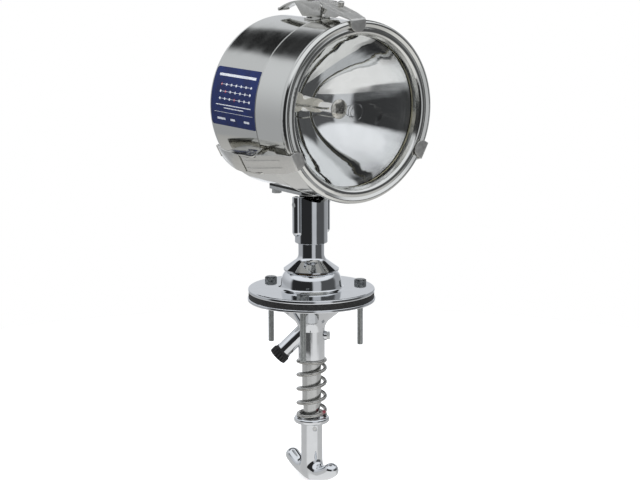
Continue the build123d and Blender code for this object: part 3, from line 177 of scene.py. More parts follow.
def make_materials():
    """One finish for each material slot of the record, and more for the scene's own pieces. Each is
    given its two colours, its two roughnesses, the size of its patches, the depth and size of its
    grain in millimetres, and how the grain is drawn out."""
    metal = {"Metallic": 1.0}
    return {
        # Wheel polished drum: a blurred mirror that keeps the room's dark ceiling as one soft band
        "polished_stainless": spun("polished_stainless_sheet", "#D2D2CE", 0.055),
        # The bezel is hazier, so its bead carries one broad highlight
        "bezel_sheet": spun("spun_bezel_sheet", "#DCDCD8", 0.08, wave_depth_mm=0.12),
        # Bright chrome on a hand polished casting: clear reflections, bent by slow waves
        "chrome_plate": mottled("chrome_plated_casting", ("#DCDEE0", "#E0E2E4"), (0.03, 0.08), 9.0,
                                0.12, 22.0, **metal),
        # Pressed and tumbled strip of levers and brackets: a soft grey sheen, fine marks along it
        "satin_stainless": mottled("satin_stainless_strip", ("#CBCAC5", "#D5D4CF"), (0.15, 0.24),
                                   5.0, 0.0012, 0.6, (0.2, 1, 1), **metal),
        # The claws are tumbled longer: paler, duller and more even than the levers
        "claw_strip": mottled("tumbled_stainless_claw", ("#E0DFDB", "#E8E7E3"), (0.46, 0.56), 3.0,
                              0.0012, 0.6, (0.2, 1, 1), **metal),
        # Turned steel: bright grey, with fine rings round the pan axis
        "turned_steel": mottled("turned_steel_rod", ("#C0C1C0", "#C9CAC9"), (0.12, 0.22), 4.0,
                                0.01, 0.4, (0.05, 0.05, 1), **metal),
        # Zinc plate: dull mid grey, slightly blotched
        "zinc_fastener": mottled("zinc_plated_steel", ("#B4B6B4", "#CDCFCC"), (0.32, 0.46), 1.6,
                                 0.004, 0.5, **metal),
        # Oiled, blackened bolt heads: dark metal with paler rubs
        "bolt_head": mottled("blackened_steel", ("#4A4D4F", "#A3A6A5"), (0.16, 0.34), 2.4,
                             0.006, 0.5, **metal),
        # Drawn wire of the spring: see its function
        "spring_steel": spring_wire(),
        # Sintered bronze: warm and open grained
        "bearing_bronze": mottled("sintered_bronze", ("#A98650", "#B8945E"), (0.28, 0.45), 3.0,
                                  0.01, 0.4, **metal),
        # Turned brass: bright yellow metal
        "terminal_brass": mottled("turned_brass", ("#CDAF67", "#D5B86F"), (0.16, 0.3), 2.0,
                                  0.003, 0.4, **metal),
        # Moulded rubber: near black and matt, with a faint grey bloom
        "gasket_rubber": mottled("moulded_epdm_rubber", ("#181818", "#282827"), (0.56, 0.7), 2.5,
                                 0.02, 0.4),
        # Aged silicone bead: dull greenish beige
        "lens_rubber": mottled("silicone_bead", ("#6F6D5C", "#8E8A76"), (0.45, 0.55), 6.0,
                               0.01, 0.6),
        # Moulded nylon: black with a soft sheen and a spark eroded grain
        "black_nylon": mottled("moulded_nylon", ("#151515", "#1C1C1C"), (0.32, 0.46), 3.0,
                               0.03, 0.35),
        # Turned acetal: warm white, slightly waxy
        "washer_nylon": mottled("turned_acetal", ("#D3D0C4", "#DAD7CD"), (0.3, 0.42), 4.0,
                                0.004, 0.4),
        # Pressed lens: clear, and just wavy enough to shake what lies behind it
        "lamp_glass": mottled("pressed_borosilicate", ("#FFFFFF", "#FFFFFF"), (0.0, 0.0), 10.0,
                              0.02, 14.0, **{"IOR": 1.47, "Transmission Weight": 1.0}),
        # Aluminised bowl: a bright mirror, bent by the pressing
        "reflector_silvering": mottled("aluminised_bowl", ("#ECEDEC", "#F0F1F0"), (0.015, 0.03),
                                       12.0, 0.10, 20.0, **metal),
        # Nickel wire and sheet inside the lamp: warm grey, heat tinted
        "lamp_metal": mottled("nickel_sheet", ("#BDBAB0", "#DBD9D2"), (0.12, 0.24), 3.0,
                              0.004, 0.5, **metal),
        # Spun aluminium of the lamp's seat: a pale haze with fine rings
        "seat_aluminium": spun("spun_aluminium", "#C3C4C5", 0.24, 0.4),
        # Screen printed foil: navy enamel under a matt lacquer
        "label_enamel": mottled("navy_label_enamel", ("#131F4C", "#1A295C"), (0.42, 0.52), 9.0,
                                0.003, 0.5, **{"Specular IOR Level": 0.25}),
        # Screen printed white: thin and matt, greyed in patches by the navy under it
        "white_ink": mottled("screen_ink_white", ("#BFC3CE", "#DDE0E5"), (0.5, 0.6), 2.0,
                             0.002, 0.5),
        # Screen printed red: matt and a little faded
        "red_ink": mottled("screen_ink_red", ("#8E3040", "#AC3A44"), (0.5, 0.6), 2.0, 0.002, 0.5),
        # Fired ceramic of the burner's foot: cream and dry. Like the quartz it carries a faint
        # painted glow: painted light for the light that the mirror would gather on it
        "ceramic": mottled("fired_steatite_painted_glow", ("#D9D6CB", "#E6E3DA"), (0.4, 0.55), 3.0, 0.01, 0.5,
                           **{"Emission Color": linear("#F2EFE4"), "Emission Strength": 0.25}),
        # Frosted quartz of the burner: milky white under a thin gloss, and a faint painted glow
        "quartz": mottled("frosted_quartz_painted_glow", ("#F0F0EE", "#F7F7F5"), (0.14, 0.3), 4.0, 0.02, 3.0,
                          # The emission is painted light, for the light that the mirror would
                          # gather on it
                          **{"Coat Weight": 0.5, "Emission Color": linear("#FFFFFF"),
                             "Emission Strength": 0.45}),
    }


def dress_frame():
    """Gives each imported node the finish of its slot, and the bezel its own."""
    for row in frame["record"]["subparts"]:
        mesh = nodes[row["node"]].data
        mesh.materials.clear()
        mesh.materials.append(materials[row["material_slot"]])
    nodes["bezel"].data.materials[0] = materials["bezel_sheet"]


def make_camera():
    """The photograph's camera. It looks along its azimuth and down by its drop. Its right and up
    axes are the level ones, turned by its roll."""
    azimuth, drop, roll = (math.radians(v) for v in (LOOK_AZIMUTH, LOOK_DROP, LOOK_ROLL))
    ahead = Vector((-math.sin(azimuth) * math.cos(drop), math.cos(azimuth) * math.cos(drop),
                    -math.sin(drop)))
    level = Vector((math.cos(azimuth), math.sin(azimuth), 0))
    upright = level.cross(ahead)
    right = level * math.cos(roll) + upright * math.sin(roll)
    up = upright * math.cos(roll) - level * math.sin(roll)
    data = bpy.data.cameras.new("photo_camera")
    data.lens = FOCAL_MM
    data.sensor_width = SENSOR_MM
    data.clip_start = 0.05
    data.clip_end = 50
    camera = bpy.data.objects.new("photo_camera", data)
    camera.matrix_world = Matrix.Translation(CAMERA_AT) @ Matrix(
        (right, up, -ahead)).transposed().to_4x4()
    scene.collection.objects.link(camera)
    scene.camera = camera


# Studio: a pale table below, a pale wall behind, and an unlit room in front
FLOOR_Z = -0.1795
FLOOR_R = 0.74
FLOOR_SIDES = 128
FRONT_AZIMUTH = -35.8       # degrees round the pan axis from the beam to the camera
DEGREES = 180 / math.pi     # in a radian


def bearing(tree, vector):
    """A vector's bearing in degrees round the pan axis, from where the photograph was taken."""
    split = add_node(tree, "SeparateXYZ", {"Vector": vector})
    turn = add_node(tree, "Math", {0: split.outputs["Y"], 1: split.outputs["X"]},
                    operation="ARCTAN2")
    degrees = add_node(tree, "Math", {
        0: turn.outputs["Value"], 1: DEGREES, 2: -FRONT_AZIMUTH}, operation="MULTIPLY_ADD")
    return add_node(tree, "Math", {0: degrees.outputs["Value"], 1: 180, 2: -180},
                    operation="WRAP").outputs["Value"]


def lay_zones(tree, level, zones):
    """Lays grey levels over one another. Each zone is a level and its bounds: a value, its lower
    and upper edge, and how soft both are."""
    for over, *bounds in zones:
        mask = 1.0
        for value, low, high, soft in bounds:
            for edge, start in ((low, 0), (high, 1)):
                step = add_node(tree, "MapRange", {
                    "Value": value, "From Min": edge - soft, "From Max": edge + soft,
                    "To Min": start, "To Max": 1 - start}, interpolation_type="SMOOTHSTEP")
                mask = add_node(tree, "Math", {0: mask, 1: step.outputs["Result"]},
                                operation="MULTIPLY").outputs["Value"]
        level = add_node(tree, "Mix", {0: mask, 2: level, 3: over},
                         data_type="FLOAT").outputs[0]
    return level


def make_world():
    """White for the camera. What lights the part and shows in it is a studio worked out from the
    ray's bearing and height in degrees: a white backdrop behind the part, a pale wall round it, a
    dark room in front with one tall window in it, a ceiling that is dark at the back and pale in
    front, and a soft panel overhead."""
    world = bpy.data.worlds.new("studio")
    world.use_nodes = True
    tree = world.node_tree
    tree.nodes.clear()
    way = add_node(tree, "TexCoord").outputs["Generated"]
    turn = bearing(tree, way)
    climb = add_node(tree, "SeparateXYZ", {"Vector": way}).outputs["Z"]
    rise = add_node(tree, "Math", {0: climb}, operation="ARCSINE")
    high = add_node(tree, "Math", {0: rise.outputs["Value"], 1: DEGREES},
                    operation="MULTIPLY").outputs["Value"]
    # The wall pales from 12 degrees below the part's level to 22 above it
    wall = add_node(tree, "MapRange", {
        "Value": high, "From Min": -12, "From Max": 22, "To Min": 0.47, "To Max": 0.77},
        interpolation_type="SMOOTHSTEP")
    # The wall's top edge is lowest straight behind and climbs by 0.04 of the turn towards the front
    aside = add_node(tree, "Math", {0: turn}, operation="ABSOLUTE").outputs["Value"]
    over = add_node(tree, "Math", {0: aside, 1: 0.04, 2: high},
                    operation="MULTIPLY_ADD").outputs["Value"]
    room = (high, -99, 28, 5)
    light = lay_zones(tree, wall.outputs["Result"], (
        (0.02, (over, 37.4, 199, 1.5)),                     # unlit ceiling over the wall
        (0.028, (turn, -82, 8, 8), room),                   # dark room, left of the window
        (0.10, (turn, 33, 112, 8), room),                   # the same, right of it
        (0.40, (turn, 104, 150, 10), room),                 # the right wall's lit end
        (0.62, (turn, 7, 37, 4), room),                     # tall window
        (1.00, (turn, -110, 120, 15), (high, 28, 99, 5)),   # pale ceiling in front
        (1.30, (high, 57, 120, 3)),                         # bright soft panel overhead
        (1.00, (aside, 160, 199, 7), (high, -99, 3, 4)),    # white backdrop behind the part
    ))
    tinted = add_node(tree, "Mix", {0: light, 6: (0, 0, 0, 1), 7: linear("#F7FAFF")},
                      data_type="RGBA")
    studio = add_node(tree, "Background", {"Color": tinted.outputs[2]})
    white = add_node(tree, "Background", {"Color": (1, 1, 1, 1)})
    chosen = add_node(tree, "MixShader", {
        0: add_node(tree, "LightPath").outputs["Is Camera Ray"],
        1: studio.outputs["Background"], 2: white.outputs["Background"]})
    output = add_node(tree, "OutputWorld")
    tree.links.new(chosen.outputs["Shader"], output.inputs["Surface"])
    scene.world = world


def make_floor():
    """A round pale table: a flat disc. The camera sees it white, less the part's shadow. Metal and
    glass show it by zones of painted light and shade, set by the bearing and reach of each spot."""
    mesh = bpy.data.meshes.new("floor")
    c, s = ring(FLOOR_SIDES)
    rim = np.stack([FLOOR_R * c, FLOOR_R * s, np.full(FLOOR_SIDES, FLOOR_Z)], 1)
    mesh.from_pydata(rim.tolist(), [], [list(range(FLOOR_SIDES))])
    floor = bpy.data.objects.new("floor", mesh)
    scene.collection.objects.link(floor)
    # Matt laminate: pale grey with a barely seen grain
    material = mottled("pale_laminate", ("#E6E7E8", "#ECEDEE"), (0.8, 0.9), 3.0,
                       **{"Specular IOR Level": 0.0})
    tree = material.node_tree
    matte = tree.nodes["Principled BSDF"].outputs["BSDF"]
    # Lifts the laminate to white for the camera, so that only the part's shadow shows on it
    lit = add_node(tree, "Emission", {"Color": (1, 1, 1, 1), "Strength": 0.55})
    white = add_node(tree, "AddShader", {0: matte, 1: lit.outputs["Emission"]})
    place = add_node(tree, "TexCoord").outputs["Object"]
    turn = bearing(tree, place)
    reach = add_node(tree, "VectorMath", {0: place}, operation="LENGTH").outputs["Value"]
    far = (reach, 0.64, 9, 0.14)
    # Painted light and shade seen in metal and glass: a pool of window light and painted shade
    level = lay_zones(tree, 0.60, (
        (0.50, far),                                                # its rim
        (0.24, (turn, -95, 10, 10), far),                           # the rim by the dark room
        (0.86, (turn, 9, 47, 9)),                                   # light from the tall window
        (0.88, (turn, -55, 62, 10), (reach, 0.12, 0.56, 0.05)),     # a pale ring in front
        (0.10, (turn, -64, -7, 4), (reach, 0.53, 9, 0.04)),         # shade beyond it, at the left
    ))
    painted_floor_light = add_node(tree, "Emission", {"Color": (1, 1, 1, 1), "Strength": level})
    path = add_node(tree, "LightPath")
    mirrored = add_node(tree, "Math", {
        0: path.outputs["Is Glossy Ray"], 1: path.outputs["Is Transmission Ray"]},
        operation="MAXIMUM")
    lower = add_node(tree, "MixShader", {
        0: mirrored.outputs["Value"], 1: matte, 2: painted_floor_light.outputs["Emission"]})
    chosen = add_node(tree, "MixShader", {
        0: path.outputs["Is Camera Ray"], 1: lower.outputs["Shader"], 2: white.outputs["Shader"]})
    tree.links.new(chosen.outputs["Shader"], tree.nodes["Material Output"].inputs["Surface"])
    mesh.materials.append(material)


def make_light(name, place, size, power, aim=(0, 0, 0.05)):
    """A square area light aimed at a point, which doesn't show in the part."""
    data = bpy.data.lights.new(name, "AREA")
    data.size = size
    data.energy = power
    light = bpy.data.objects.new(name, data)
    light.location = place
    light.rotation_euler = (Vector(aim) - Vector(place)).to_track_quat("-Z", "Y").to_euler()
    light.visible_glossy = False
    light.visible_transmission = False
    scene.collection.objects.link(light)


# ---- pieces ----

def add_piece(name, points, faces, material, body, replaced=(), sharp=35):
    """A mesh object in place, smooth except at edges sharper than an angle. It rides on a body if
    one is given, and takes its finish from a slot and the place of the nodes it replaces."""
    mesh = bpy.data.meshes.new(name)
    mesh.from_pydata(np.asarray(points).reshape(-1, 3).tolist(), [], faces)
    mesh.validate()
    mesh.polygons.foreach_set("use_smooth", np.ones(len(mesh.polygons), bool))
    mesh.set_sharp_from_angle(angle=math.radians(sharp))
    mesh.materials.append(material)
    piece = bpy.data.objects.new(name, mesh)
    scene.collection.objects.link(piece)
    if body:
        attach(piece, body)
    if replaced:
        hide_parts(*replaced)
    return piece


def grid_faces(rows, cols, first=0, wrap_rows=False):
    """Quads of a grid whose rows are closed rings. The last row joins the first, or else there is a
    flat cap at each end."""
    i = np.arange(rows if wrap_rows else rows - 1)[:, None]
    j = np.arange(cols)[None, :]
    i2, j2 = (i + 1) % rows, (j + 1) % cols
    corners = i * cols + j, i * cols + j2, i2 * cols + j2, i2 * cols + j
    quads = np.stack(np.broadcast_arrays(*corners), -1)
    faces = (quads.reshape(-1, 4) + first).tolist()
    if not wrap_rows:
        faces.append((np.arange(cols)[::-1] + first).tolist())
        faces.append((np.arange(cols) + first + (rows - 1) * cols).tolist())
    return faces


def joined(grids, **settings):
    """Points and faces of several grids as one mesh. Each grid's rows are closed rings."""
    points, faces, first = [], [], 0
    for grid in grids:
        rows, cols = grid.shape[:2]
        faces += grid_faces(rows, cols, first, **settings)
        points.append(grid.reshape(-1, 3))
        first += rows * cols
    return np.concatenate(points), faces


def ring(count):
    """Cosines and sines of equal steps round a circle."""
    turn = np.linspace(0, 2 * np.pi, count, endpoint=False)
    return np.cos(turn), np.sin(turn)


def tube(path, side, radius, count):
    """A circle carried along a path: each point is the path's, plus the radius times the cosine of
    its turn along the direction nearest side, and times its sine along the other one across."""
    along = np.gradient(path, axis=0)
    along /= np.linalg.norm(along, axis=1, keepdims=True)
    across = side - (side * along).sum(1, keepdims=True) * along
    across /= np.linalg.norm(across, axis=1, keepdims=True)
    other = np.cross(along, across)
    c, s = ring(count)
    outwards = across[:, None] * c[None, :, None] + other[:, None] * s[None, :, None]
    return path[:, None] + radius * outwards


def merged_copy(node):
    """A CAD node's mesh in an object of its own, its loose triangles joined and its flat faces made
    whole."""
    mesh = nodes[node].data.copy()
    work = bmesh.new()
    work.from_mesh(mesh)
    bmesh.ops.remove_doubles(work, verts=work.verts, dist=2e-6)
    bmesh.ops.dissolve_limit(work, angle_limit=math.radians(0.5), verts=work.verts,
                             edges=work.edges)
    mesh.clear_geometry()
    work.to_mesh(mesh)
    work.free()
    copy = bpy.data.objects.new(node + "_work", mesh)
    scene.collection.objects.link(copy)
    return copy


def evaluated(obj):
    """An object's points and faces after its modifiers."""
    graph = bpy.context.evaluated_depsgraph_get()
    mesh = obj.evaluated_get(graph).to_mesh()
    points = np.empty(len(mesh.vertices) * 3)
    mesh.vertices.foreach_get("co", points)
    faces = [list(p.vertices) for p in mesh.polygons]
    return points.reshape(-1, 3), faces


def soften(node, body, slot, width=0.0003, segments=2, finish=None):
    """A pressed piece in place of its solid: the same shape with its sharp edges rounded."""
    source = merged_copy(node)
    bevel = source.modifiers.new("edges", "BEVEL")
    bevel.width = width
    bevel.segments = segments
    bevel.limit_method = "ANGLE"
    bevel.angle_limit = math.radians(40)
    bevel.use_clamp_overlap = True
    points, faces = evaluated(source)
    bpy.data.objects.remove(source)
    add_piece(node + "_pressed", points, faces, materials[finish or slot], body, [node],
              sharp=50)


# Return spring: its coil and wire, the heights of its ends, its pitch and the degrees where it
# starts, the turns over which an end goes from flat to full pitch, and the turn with the dab of
# paint
COIL_R, WIRE_R, WIRE_SIDES = 0.013, 0.00175, 20
COIL_LOW, COIL_HIGH = -0.1122, -0.0588
COIL_PITCH, COIL_START = 0.01385, 51.0
EASE_FROM, EASE_TO = 0.5, 0.9
COIL_TURNS = (COIL_HIGH - COIL_LOW) / COIL_PITCH + EASE_FROM + EASE_TO
PAINT_TURN, PAINT_WIDE = 0.92, 0.035


def make_spring():
    """A wire round a helix that climbs one pitch a turn. At each end it lies flat for half a turn,
    then its slope grows evenly to the full pitch. The dab of paint is a bell curve of the turn."""
    turn = np.linspace(0, COIL_TURNS, 1000)

    def climb(t):
        eased = np.clip(t - EASE_FROM, 0, EASE_TO - EASE_FROM) ** 2 / (2 * (EASE_TO - EASE_FROM))
        return eased + np.maximum(t - EASE_TO, 0)

    z = np.where(turn < COIL_TURNS / 2, COIL_LOW + COIL_PITCH * climb(turn),
                 COIL_HIGH - COIL_PITCH * climb(COIL_TURNS - turn))
    a = np.radians(COIL_START) + 2 * np.pi * turn
    out = np.stack([np.cos(a), np.sin(a), np.zeros_like(a)], 1)
    path = out * COIL_R
    path[:, 2] = z
    points, faces = joined([tube(path, out, WIRE_R, WIRE_SIDES)])
    piece = add_piece("return_spring_wire", points, faces, materials["spring_steel"],
                      None, ["return_spring"])
    paint = np.exp(-((turn - PAINT_TURN) / PAINT_WIDE) ** 2)
    mark = piece.data.attributes.new("paint", "FLOAT", "POINT")
    mark.data.foreach_set("value", np.repeat(paint, WIRE_SIDES).astype(np.float32))
    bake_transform(piece)


# Mounting bolts: their thread, the circle they stand on, their lower end and the flange's top, and
# their heads' width across flats, height and chamfer
BOLT_R, BOLT_PITCH, BOLT_DEPTH, BOLT_SIDES = 0.00295, 0.001, 0.00052, 28
BOLT_CIRCLE, BOLT_TURN, BOLT_LOW, DECK_TOP = 0.050, 75.2, -0.048, 0.012
HEAD_AF, HEAD_H = 0.010, 0.004
CHAMFER_SHARE, CHAMFER_SLOPE, UNDER_EDGE = 0.92, 28, 0.0001


def head_grid(af, height, count=72):
    """A hexagon head standing on z = 0, as rings from its underside to its chamfered top. A side is
    half the width across flats away, over the cosine of the turn from the middle of its flat. The
    chamfer falls from a circle inside the flats by a fixed slope."""
    turn = np.linspace(0, 2 * np.pi, count, endpoint=False)
    side = (af / 2) / np.cos((turn % (np.pi / 3)) - np.pi / 6)
    flat = np.full_like(turn, af / 2 * CHAMFER_SHARE)
    fall = (side - flat) * math.tan(math.radians(CHAMFER_SLOPE))
    low, top = 0 * turn, height + 0 * turn
    rows = [(flat, low), (side - UNDER_EDGE, low), (side, low + UNDER_EDGE),
            (side, top - fall), (flat, top), (flat * 0.5, top)]
    return np.stack([np.stack([r * np.cos(turn), r * np.sin(turn), z], 1) for r, z in rows])


def make_bolts():
    """Three M6 bolts: below a plain shank the radius follows a triangle wave that winds one pitch
    a turn, clipped at crest and root."""
    c, s = ring(BOLT_SIDES)
    turn = np.linspace(0, 1, BOLT_SIDES, endpoint=False)
    z = np.concatenate([[DECK_TOP, 0.0002], np.arange(0, BOLT_LOW + 0.0006, -BOLT_PITCH / 8)])
    wave = np.abs(((z[:, None] / BOLT_PITCH + turn[None]) % 1) * 2 - 1)
    thread = BOLT_R - BOLT_DEPTH * np.clip(1.25 * wave - 0.12, 0, 1)
    thread[:2] = BOLT_R     # the plain shank
    z = np.append(z, BOLT_LOW)
    thread = np.concatenate([thread, np.full((1, BOLT_SIDES), BOLT_R - 1.1 * BOLT_DEPTH)])
    rod = np.stack([thread * c, thread * s, np.broadcast_to(z[:, None], thread.shape)], -1)[::-1]
    head = head_grid(HEAD_AF, HEAD_H) + [0, 0, DECK_TOP]
    stand = np.radians(BOLT_TURN + 120 * np.arange(3))
    places = BOLT_CIRCLE * np.stack([np.cos(stand), np.sin(stand), 0 * stand], 1)
    for name, grid, finish in (("threads", rod, "zinc_fastener"), ("heads", head, "bolt_head")):
        points, faces = joined([grid + place for place in places])
        add_piece("mounting_bolt_" + name, points, faces, materials[finish],
                  "mount", ["mounting_bolts"])


# Cable gland: the branch's turn and drop in degrees, the height it leaves from and its length, and
# the nut's flutes
BRANCH_TURN, BRANCH_DROP, BRANCH_Z, BRANCH_LEN = 234.2, 45.0, -0.023, 0.037
FLUTES, FLUTE_DEEP = 18, 0.0011


def on_branch(radius, along, turn):
    """Points round the cable branch's axis, from radius, distance along it and turn."""
    a, d = math.radians(BRANCH_TURN), math.radians(BRANCH_DROP)
    out = np.array([math.cos(a) * math.cos(d), math.sin(a) * math.cos(d), -math.sin(d)])
    first = np.array([-math.sin(a), math.cos(a), 0])
    second = np.cross(out, first)
    x, y = radius * np.cos(turn), radius * np.sin(turn)
    return (np.array([0, 0, BRANCH_Z]) + along[..., None] * out
            + x[..., None] * first + y[..., None] * second)


def make_gland():
    """A ribbed nut: a closed profile of (radius, distance along) points turned round the branch.
    Its outer rings are pushed in by the depth of a flute, times the fourth power of the cosine of
    half the number of flutes times the turn."""
    profile = MM * np.array([
        (7.6, 0.0), (8.0, 0.3), (8.0, 2.2), (8.6, 2.8), (9.1, 3.4), (9.1, 8.4), (8.6, 9.2),
        (7.8, 9.5), (4.2, 9.5), (3.62, 9.0), (3.62, 8.5), (5.42, 8.5), (5.42, 0.0)])
    fluted = np.array([0.3, 0.6, 0.6, 1, 1, 1, 1, 0.4, 0, 0, 0, 0, 0])
    turn = np.linspace(0, 2 * np.pi, 288, endpoint=False)
    groove = FLUTE_DEEP * np.abs(np.cos(FLUTES / 2 * turn)) ** 4
    radius = profile[:, :1] - fluted[:, None] * groove
    along = np.broadcast_to(profile[:, 1:] + BRANCH_LEN, radius.shape)
    points, faces = joined([on_branch(radius, along, np.broadcast_to(turn, radius.shape))],
                           wrap_rows=True)
    add_piece("gland_nut_ribbed", points, faces, materials["black_nylon"],
              "mount", ["gland_nut"])


# Pull and turn handle: its collar, its stem and arched bar, the rod's bore and the cross pin's
# hole, the fillets where these run together, and the size of the net of faces laid over it
COLLAR_TOP, COLLAR_T, COLLAR_R, COLLAR_EDGE = -0.114, 0.006, 0.017, 0.0026
STEM_R, BAR_R, BAR_Z, BAR_HALF, BAR_RISE = 0.0102, 0.0069, -0.170, 0.0315, 0.0094
BORE_R, BORE_DEEP, PIN_R, PIN_Z, PIN_TURN = 0.00802, 0.036, 0.00202, -0.1245, 340.7
BAR_FILLET, COLLAR_FILLET = 0.009, 0.002
NET = 0.0006


def soft_least(a, b, size):
    """The lesser of two distances. Where they are closer than size it is lowered to round the
    corner, by a quarter of size times the square of their closeness."""
    h = np.maximum(size - np.abs(a - b), 0) / size
    return np.minimum(a, b) - h * h * size / 4


def handle_distance(p):
    """Distance to the handle: a stem with a ball end, a bar bent to an arc and a rounded collar,
    run together with fillets, less the rod's bore and the pin's hole."""
    x, y, z = p.T
    r = np.hypot(x, y)
    ball_z = BAR_Z + STEM_R - BAR_R / 2
    stem = np.where(z > ball_z, r, np.hypot(r, z - ball_z)) - STEM_R
    bend = (BAR_HALF ** 2 + BAR_RISE ** 2) / (2 * BAR_RISE)
    reach = math.asin(BAR_HALF / bend)
    a = np.clip(np.arctan2(x, BAR_Z + bend - z), -reach, reach)
    bar = np.sqrt((x - bend * np.sin(a)) ** 2 + y ** 2
                  + (z - BAR_Z - bend + bend * np.cos(a)) ** 2) - BAR_R
    dr = r - COLLAR_R + COLLAR_EDGE
    dz = np.abs(z - COLLAR_TOP + COLLAR_T / 2) - COLLAR_T / 2 + COLLAR_EDGE
    collar = (np.hypot(np.maximum(dr, 0), np.maximum(dz, 0)) + np.minimum(np.maximum(dr, dz), 0)
              - COLLAR_EDGE)
    solid = soft_least(soft_least(stem, bar, BAR_FILLET), collar, COLLAR_FILLET)
    bore = np.maximum(r - BORE_R, COLLAR_TOP - BORE_DEEP - z)
    t = math.radians(PIN_TURN)
    hole = np.hypot(y * math.cos(t) - x * math.sin(t), z - PIN_Z) - PIN_R
    return np.maximum(np.maximum(solid, -bore), np.maximum(-hole, z - COLLAR_TOP))


def make_handle():
    """An even net of faces over the handle's solid, each point of it moved along the slope of
    handle_distance, by the distance over the slope, until that distance is nought."""
    source = merged_copy("handle")
    remesh = source.modifiers.new("net", "REMESH")
    remesh.mode = "VOXEL"
    remesh.voxel_size = NET
    points, faces = evaluated(source)
    bpy.data.objects.remove(source)
    step = 1e-6
    for _ in range(6):
        value = handle_distance(points)
        slope = np.stack([(handle_distance(points + d) - handle_distance(points - d)) / (2 * step)
                          for d in step * np.eye(3)], 1)
        steepness = np.maximum((slope ** 2).sum(1, keepdims=True), 0.05)
        points = points - np.clip(value, -NET, NET)[:, None] * slope / steepness
    add_piece("handle_cast", points, faces, materials["chrome_plate"], "control",
              ["handle"], sharp=60)


# Data plate: its face's distance from the beam, and what it spans along the beam and in degrees
# round it, from straight up
LABEL_R = 0.08052
LABEL_X = (-0.0465, 0.0258)
LABEL_TURN = (258.5, 297.3)
INK_FROM, INK_TO = 0.00001, 0.00005     # the print's underside and face above the plate's face


def on_drum(x, turn, lift):
    """Points over the plate from x along the beam, the turn in degrees and a lift: they stand off
    the beam by the plate's radius and the lift."""
    a = np.radians(turn)
    r = LABEL_R + lift
    return np.stack([x, r * np.sin(a), HEAD_Z + r * np.cos(a)], -1)


def print_block(outline):
    """A thin slab of ink over an outline of (share of the length, share of the height) corners."""
    u, v = np.asarray(outline, float).T
    x = LABEL_X[0] + u * (LABEL_X[1] - LABEL_X[0])
    turn = LABEL_TURN[0] + v * (LABEL_TURN[1] - LABEL_TURN[0])
    return np.stack([on_drum(x, turn, INK_FROM), on_drum(x, turn, INK_TO)])


def bar_outline(u0, u1, v0, v1):
    """A straight bar's four corners, in shares of the plate."""
    return np.array([(u0, v1), (u0, v0), (u1, v0), (u1, v1)])


def dot_outline(u, v, size, count=24):
    """A round dot at a place in shares of the plate, of a radius in metres."""
    c, s = ring(count)
    wide = LABEL_X[1] - LABEL_X[0]
    high = math.radians(LABEL_TURN[1] - LABEL_TURN[0]) * LABEL_R
    return np.stack([u + size * c / wide, v + size * s / high], 1)


def make_print():
    """A heading bar, three scales of dots on a line with one red dot each, and plain rules."""
    dots, dot_r = 7, 0.00125
    white, red = [bar_outline(0.10, 0.92, 0.84, 0.885)], []
    for v, red_dot in ((0.70, 0), (0.58, 1), (0.46, 3)):
        white.append(bar_outline(0.18, 0.88, v - 0.003, v + 0.003))
        for i in range(dots):
            ink = red if i == red_dot else white
            ink.append(dot_outline(0.20 + 0.66 * i / (dots - 1), v, dot_r))
    for bar in ((0.12, 0.90, 0.345, 0.361), (0.30, 0.74, 0.295, 0.311), (0.08, 0.94, 0.225, 0.231),
                (0.14, 0.32, 0.10, 0.135), (0.44, 0.54, 0.10, 0.135), (0.74, 0.86, 0.10, 0.135)):
        white.append(bar_outline(*bar))
    for name, outlines in (("white", white), ("red", red)):
        points, faces = joined([print_block(o) for o in outlines])
        add_piece("data_plate_print_" + name, points, faces, materials[name + "_ink"], "head")


# Lamp inside: the burner tube along the beam, its open rear edge, and the filament's coil
BURNER_R, BURNER_FROM, BURNER_END, BURNER_EDGE = 0.0044, 0.0165, 0.0435, 0.001
FILAMENT_X, FILAMENT_R, FILAMENT_WIRE = 0.033, 0.0014, 0.00022
FILAMENT_TURNS, FILAMENT_LEN = 9, 0.0052

# The sleeve's rear edge
SLEEVE_R, SLEEVE_REAR, EDGE_R = 0.0815, 0.027, 0.0005


def round_beam(profile, count=64):
    """A profile of (x along the beam, distance from it) points turned round the beam."""
    c, s = ring(count)
    x, r = np.asarray(profile, float).T
    return np.stack(np.broadcast_arrays(x[:, None], r[:, None] * s, HEAD_Z + r[:, None] * c), -1)


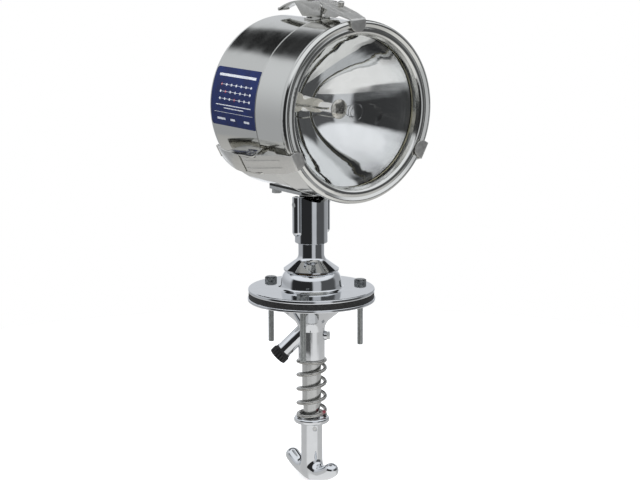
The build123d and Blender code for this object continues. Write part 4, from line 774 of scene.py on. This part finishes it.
def make_burner():
    """The burner on its ceramic foot, both turned round the beam. The burner is a frosted tube with
    a domed end, whose radius falls as the square root of one less the square of the way along the
    dome. The foot is a closed profile: a stepped disc with a hole through it."""
    along = np.linspace(0, 1, 14)[:-1]
    dome = np.stack([BURNER_END - BURNER_R * (1 - along), BURNER_R * np.sqrt(1 - along ** 2)], 1)
    profile = [(BURNER_FROM, BURNER_R * 0.9), (BURNER_FROM + BURNER_EDGE, BURNER_R), *dome,
               (BURNER_END, 0.0002)]
    points, faces = joined([round_beam(profile)[::-1]])
    add_piece("burner_tube", points, faces, materials["quartz"], "head", sharp=50)
    foot = MM * np.array([(16.6, 3.0), (16.6, 4.4), (15.8, 5.0), (13.0, 5.4), (12.6, 6.0),
                          (10.6, 6.0), (10.6, 3.0)])
    points, faces = joined([round_beam(foot)], wrap_rows=True)
    add_piece("burner_foot", points, faces, materials["ceramic"], "head")


def make_sleeve_edge():
    """The sleeve's rolled rear edge: a thin circle, sunk a little into the sheet, carried round the
    drum."""
    c, s = ring(16)
    r = SLEEVE_R - 0.3 * EDGE_R + EDGE_R * s
    x = SLEEVE_REAR + 0.6 * EDGE_R + EDGE_R * c
    points, faces = joined([round_beam(np.stack([x, r], 1), 360)], wrap_rows=True)
    add_piece("sleeve_rolled_edge", points, faces, materials["polished_stainless"], "head")


def make_filament():
    """A tungsten coil across the lamp: a fine wire round a helix on a short straight axis."""
    turn = np.linspace(0, FILAMENT_TURNS, 400)
    a = 2 * np.pi * turn
    out = np.stack([np.cos(a), 0 * a, np.sin(a)], 1)
    along = np.stack([0 * a, (turn / FILAMENT_TURNS - 0.5) * FILAMENT_LEN, 0 * a], 1)
    path = out * FILAMENT_R + along + [FILAMENT_X, 0, HEAD_Z]
    points, faces = joined([tube(path, out, FILAMENT_WIRE, 8)])
    add_piece("filament_coil", points, faces, materials["lamp_metal"], "head",
              ["lamp_filament"])


def make_latches():
    """The three toggle latches. Their claws are tumbled longer, so their edges are rounder."""
    sides = ("top", "right", "left")
    for side in sides:
        soften(side + "_latch_bracket", "head", "satin_stainless")
    for side in sides:
        soften(side + "_latch_lever", side + "_lever", "satin_stainless")
    for side in sides:
        soften(side + "_latch_claw", side + "_claw", "satin_stainless", width=0.0008, segments=4,
               finish="claw_strip")


scene.view_settings.view_transform = "Standard"
materials = make_materials()
dress_frame()
make_camera()
make_world()
make_floor()
make_spring()
make_bolts()
make_gland()
make_handle()
make_print()
make_sleeve_edge()
make_filament()
make_burner()
make_latches()
soften("tilt_plate", "head", "turned_steel")
make_light("overhead_panel", (0.2, -0.2, 1.6), size=1.2, power=16)
make_light("side_window", (0.9, -0.9, 0.7), size=0.8, power=8)
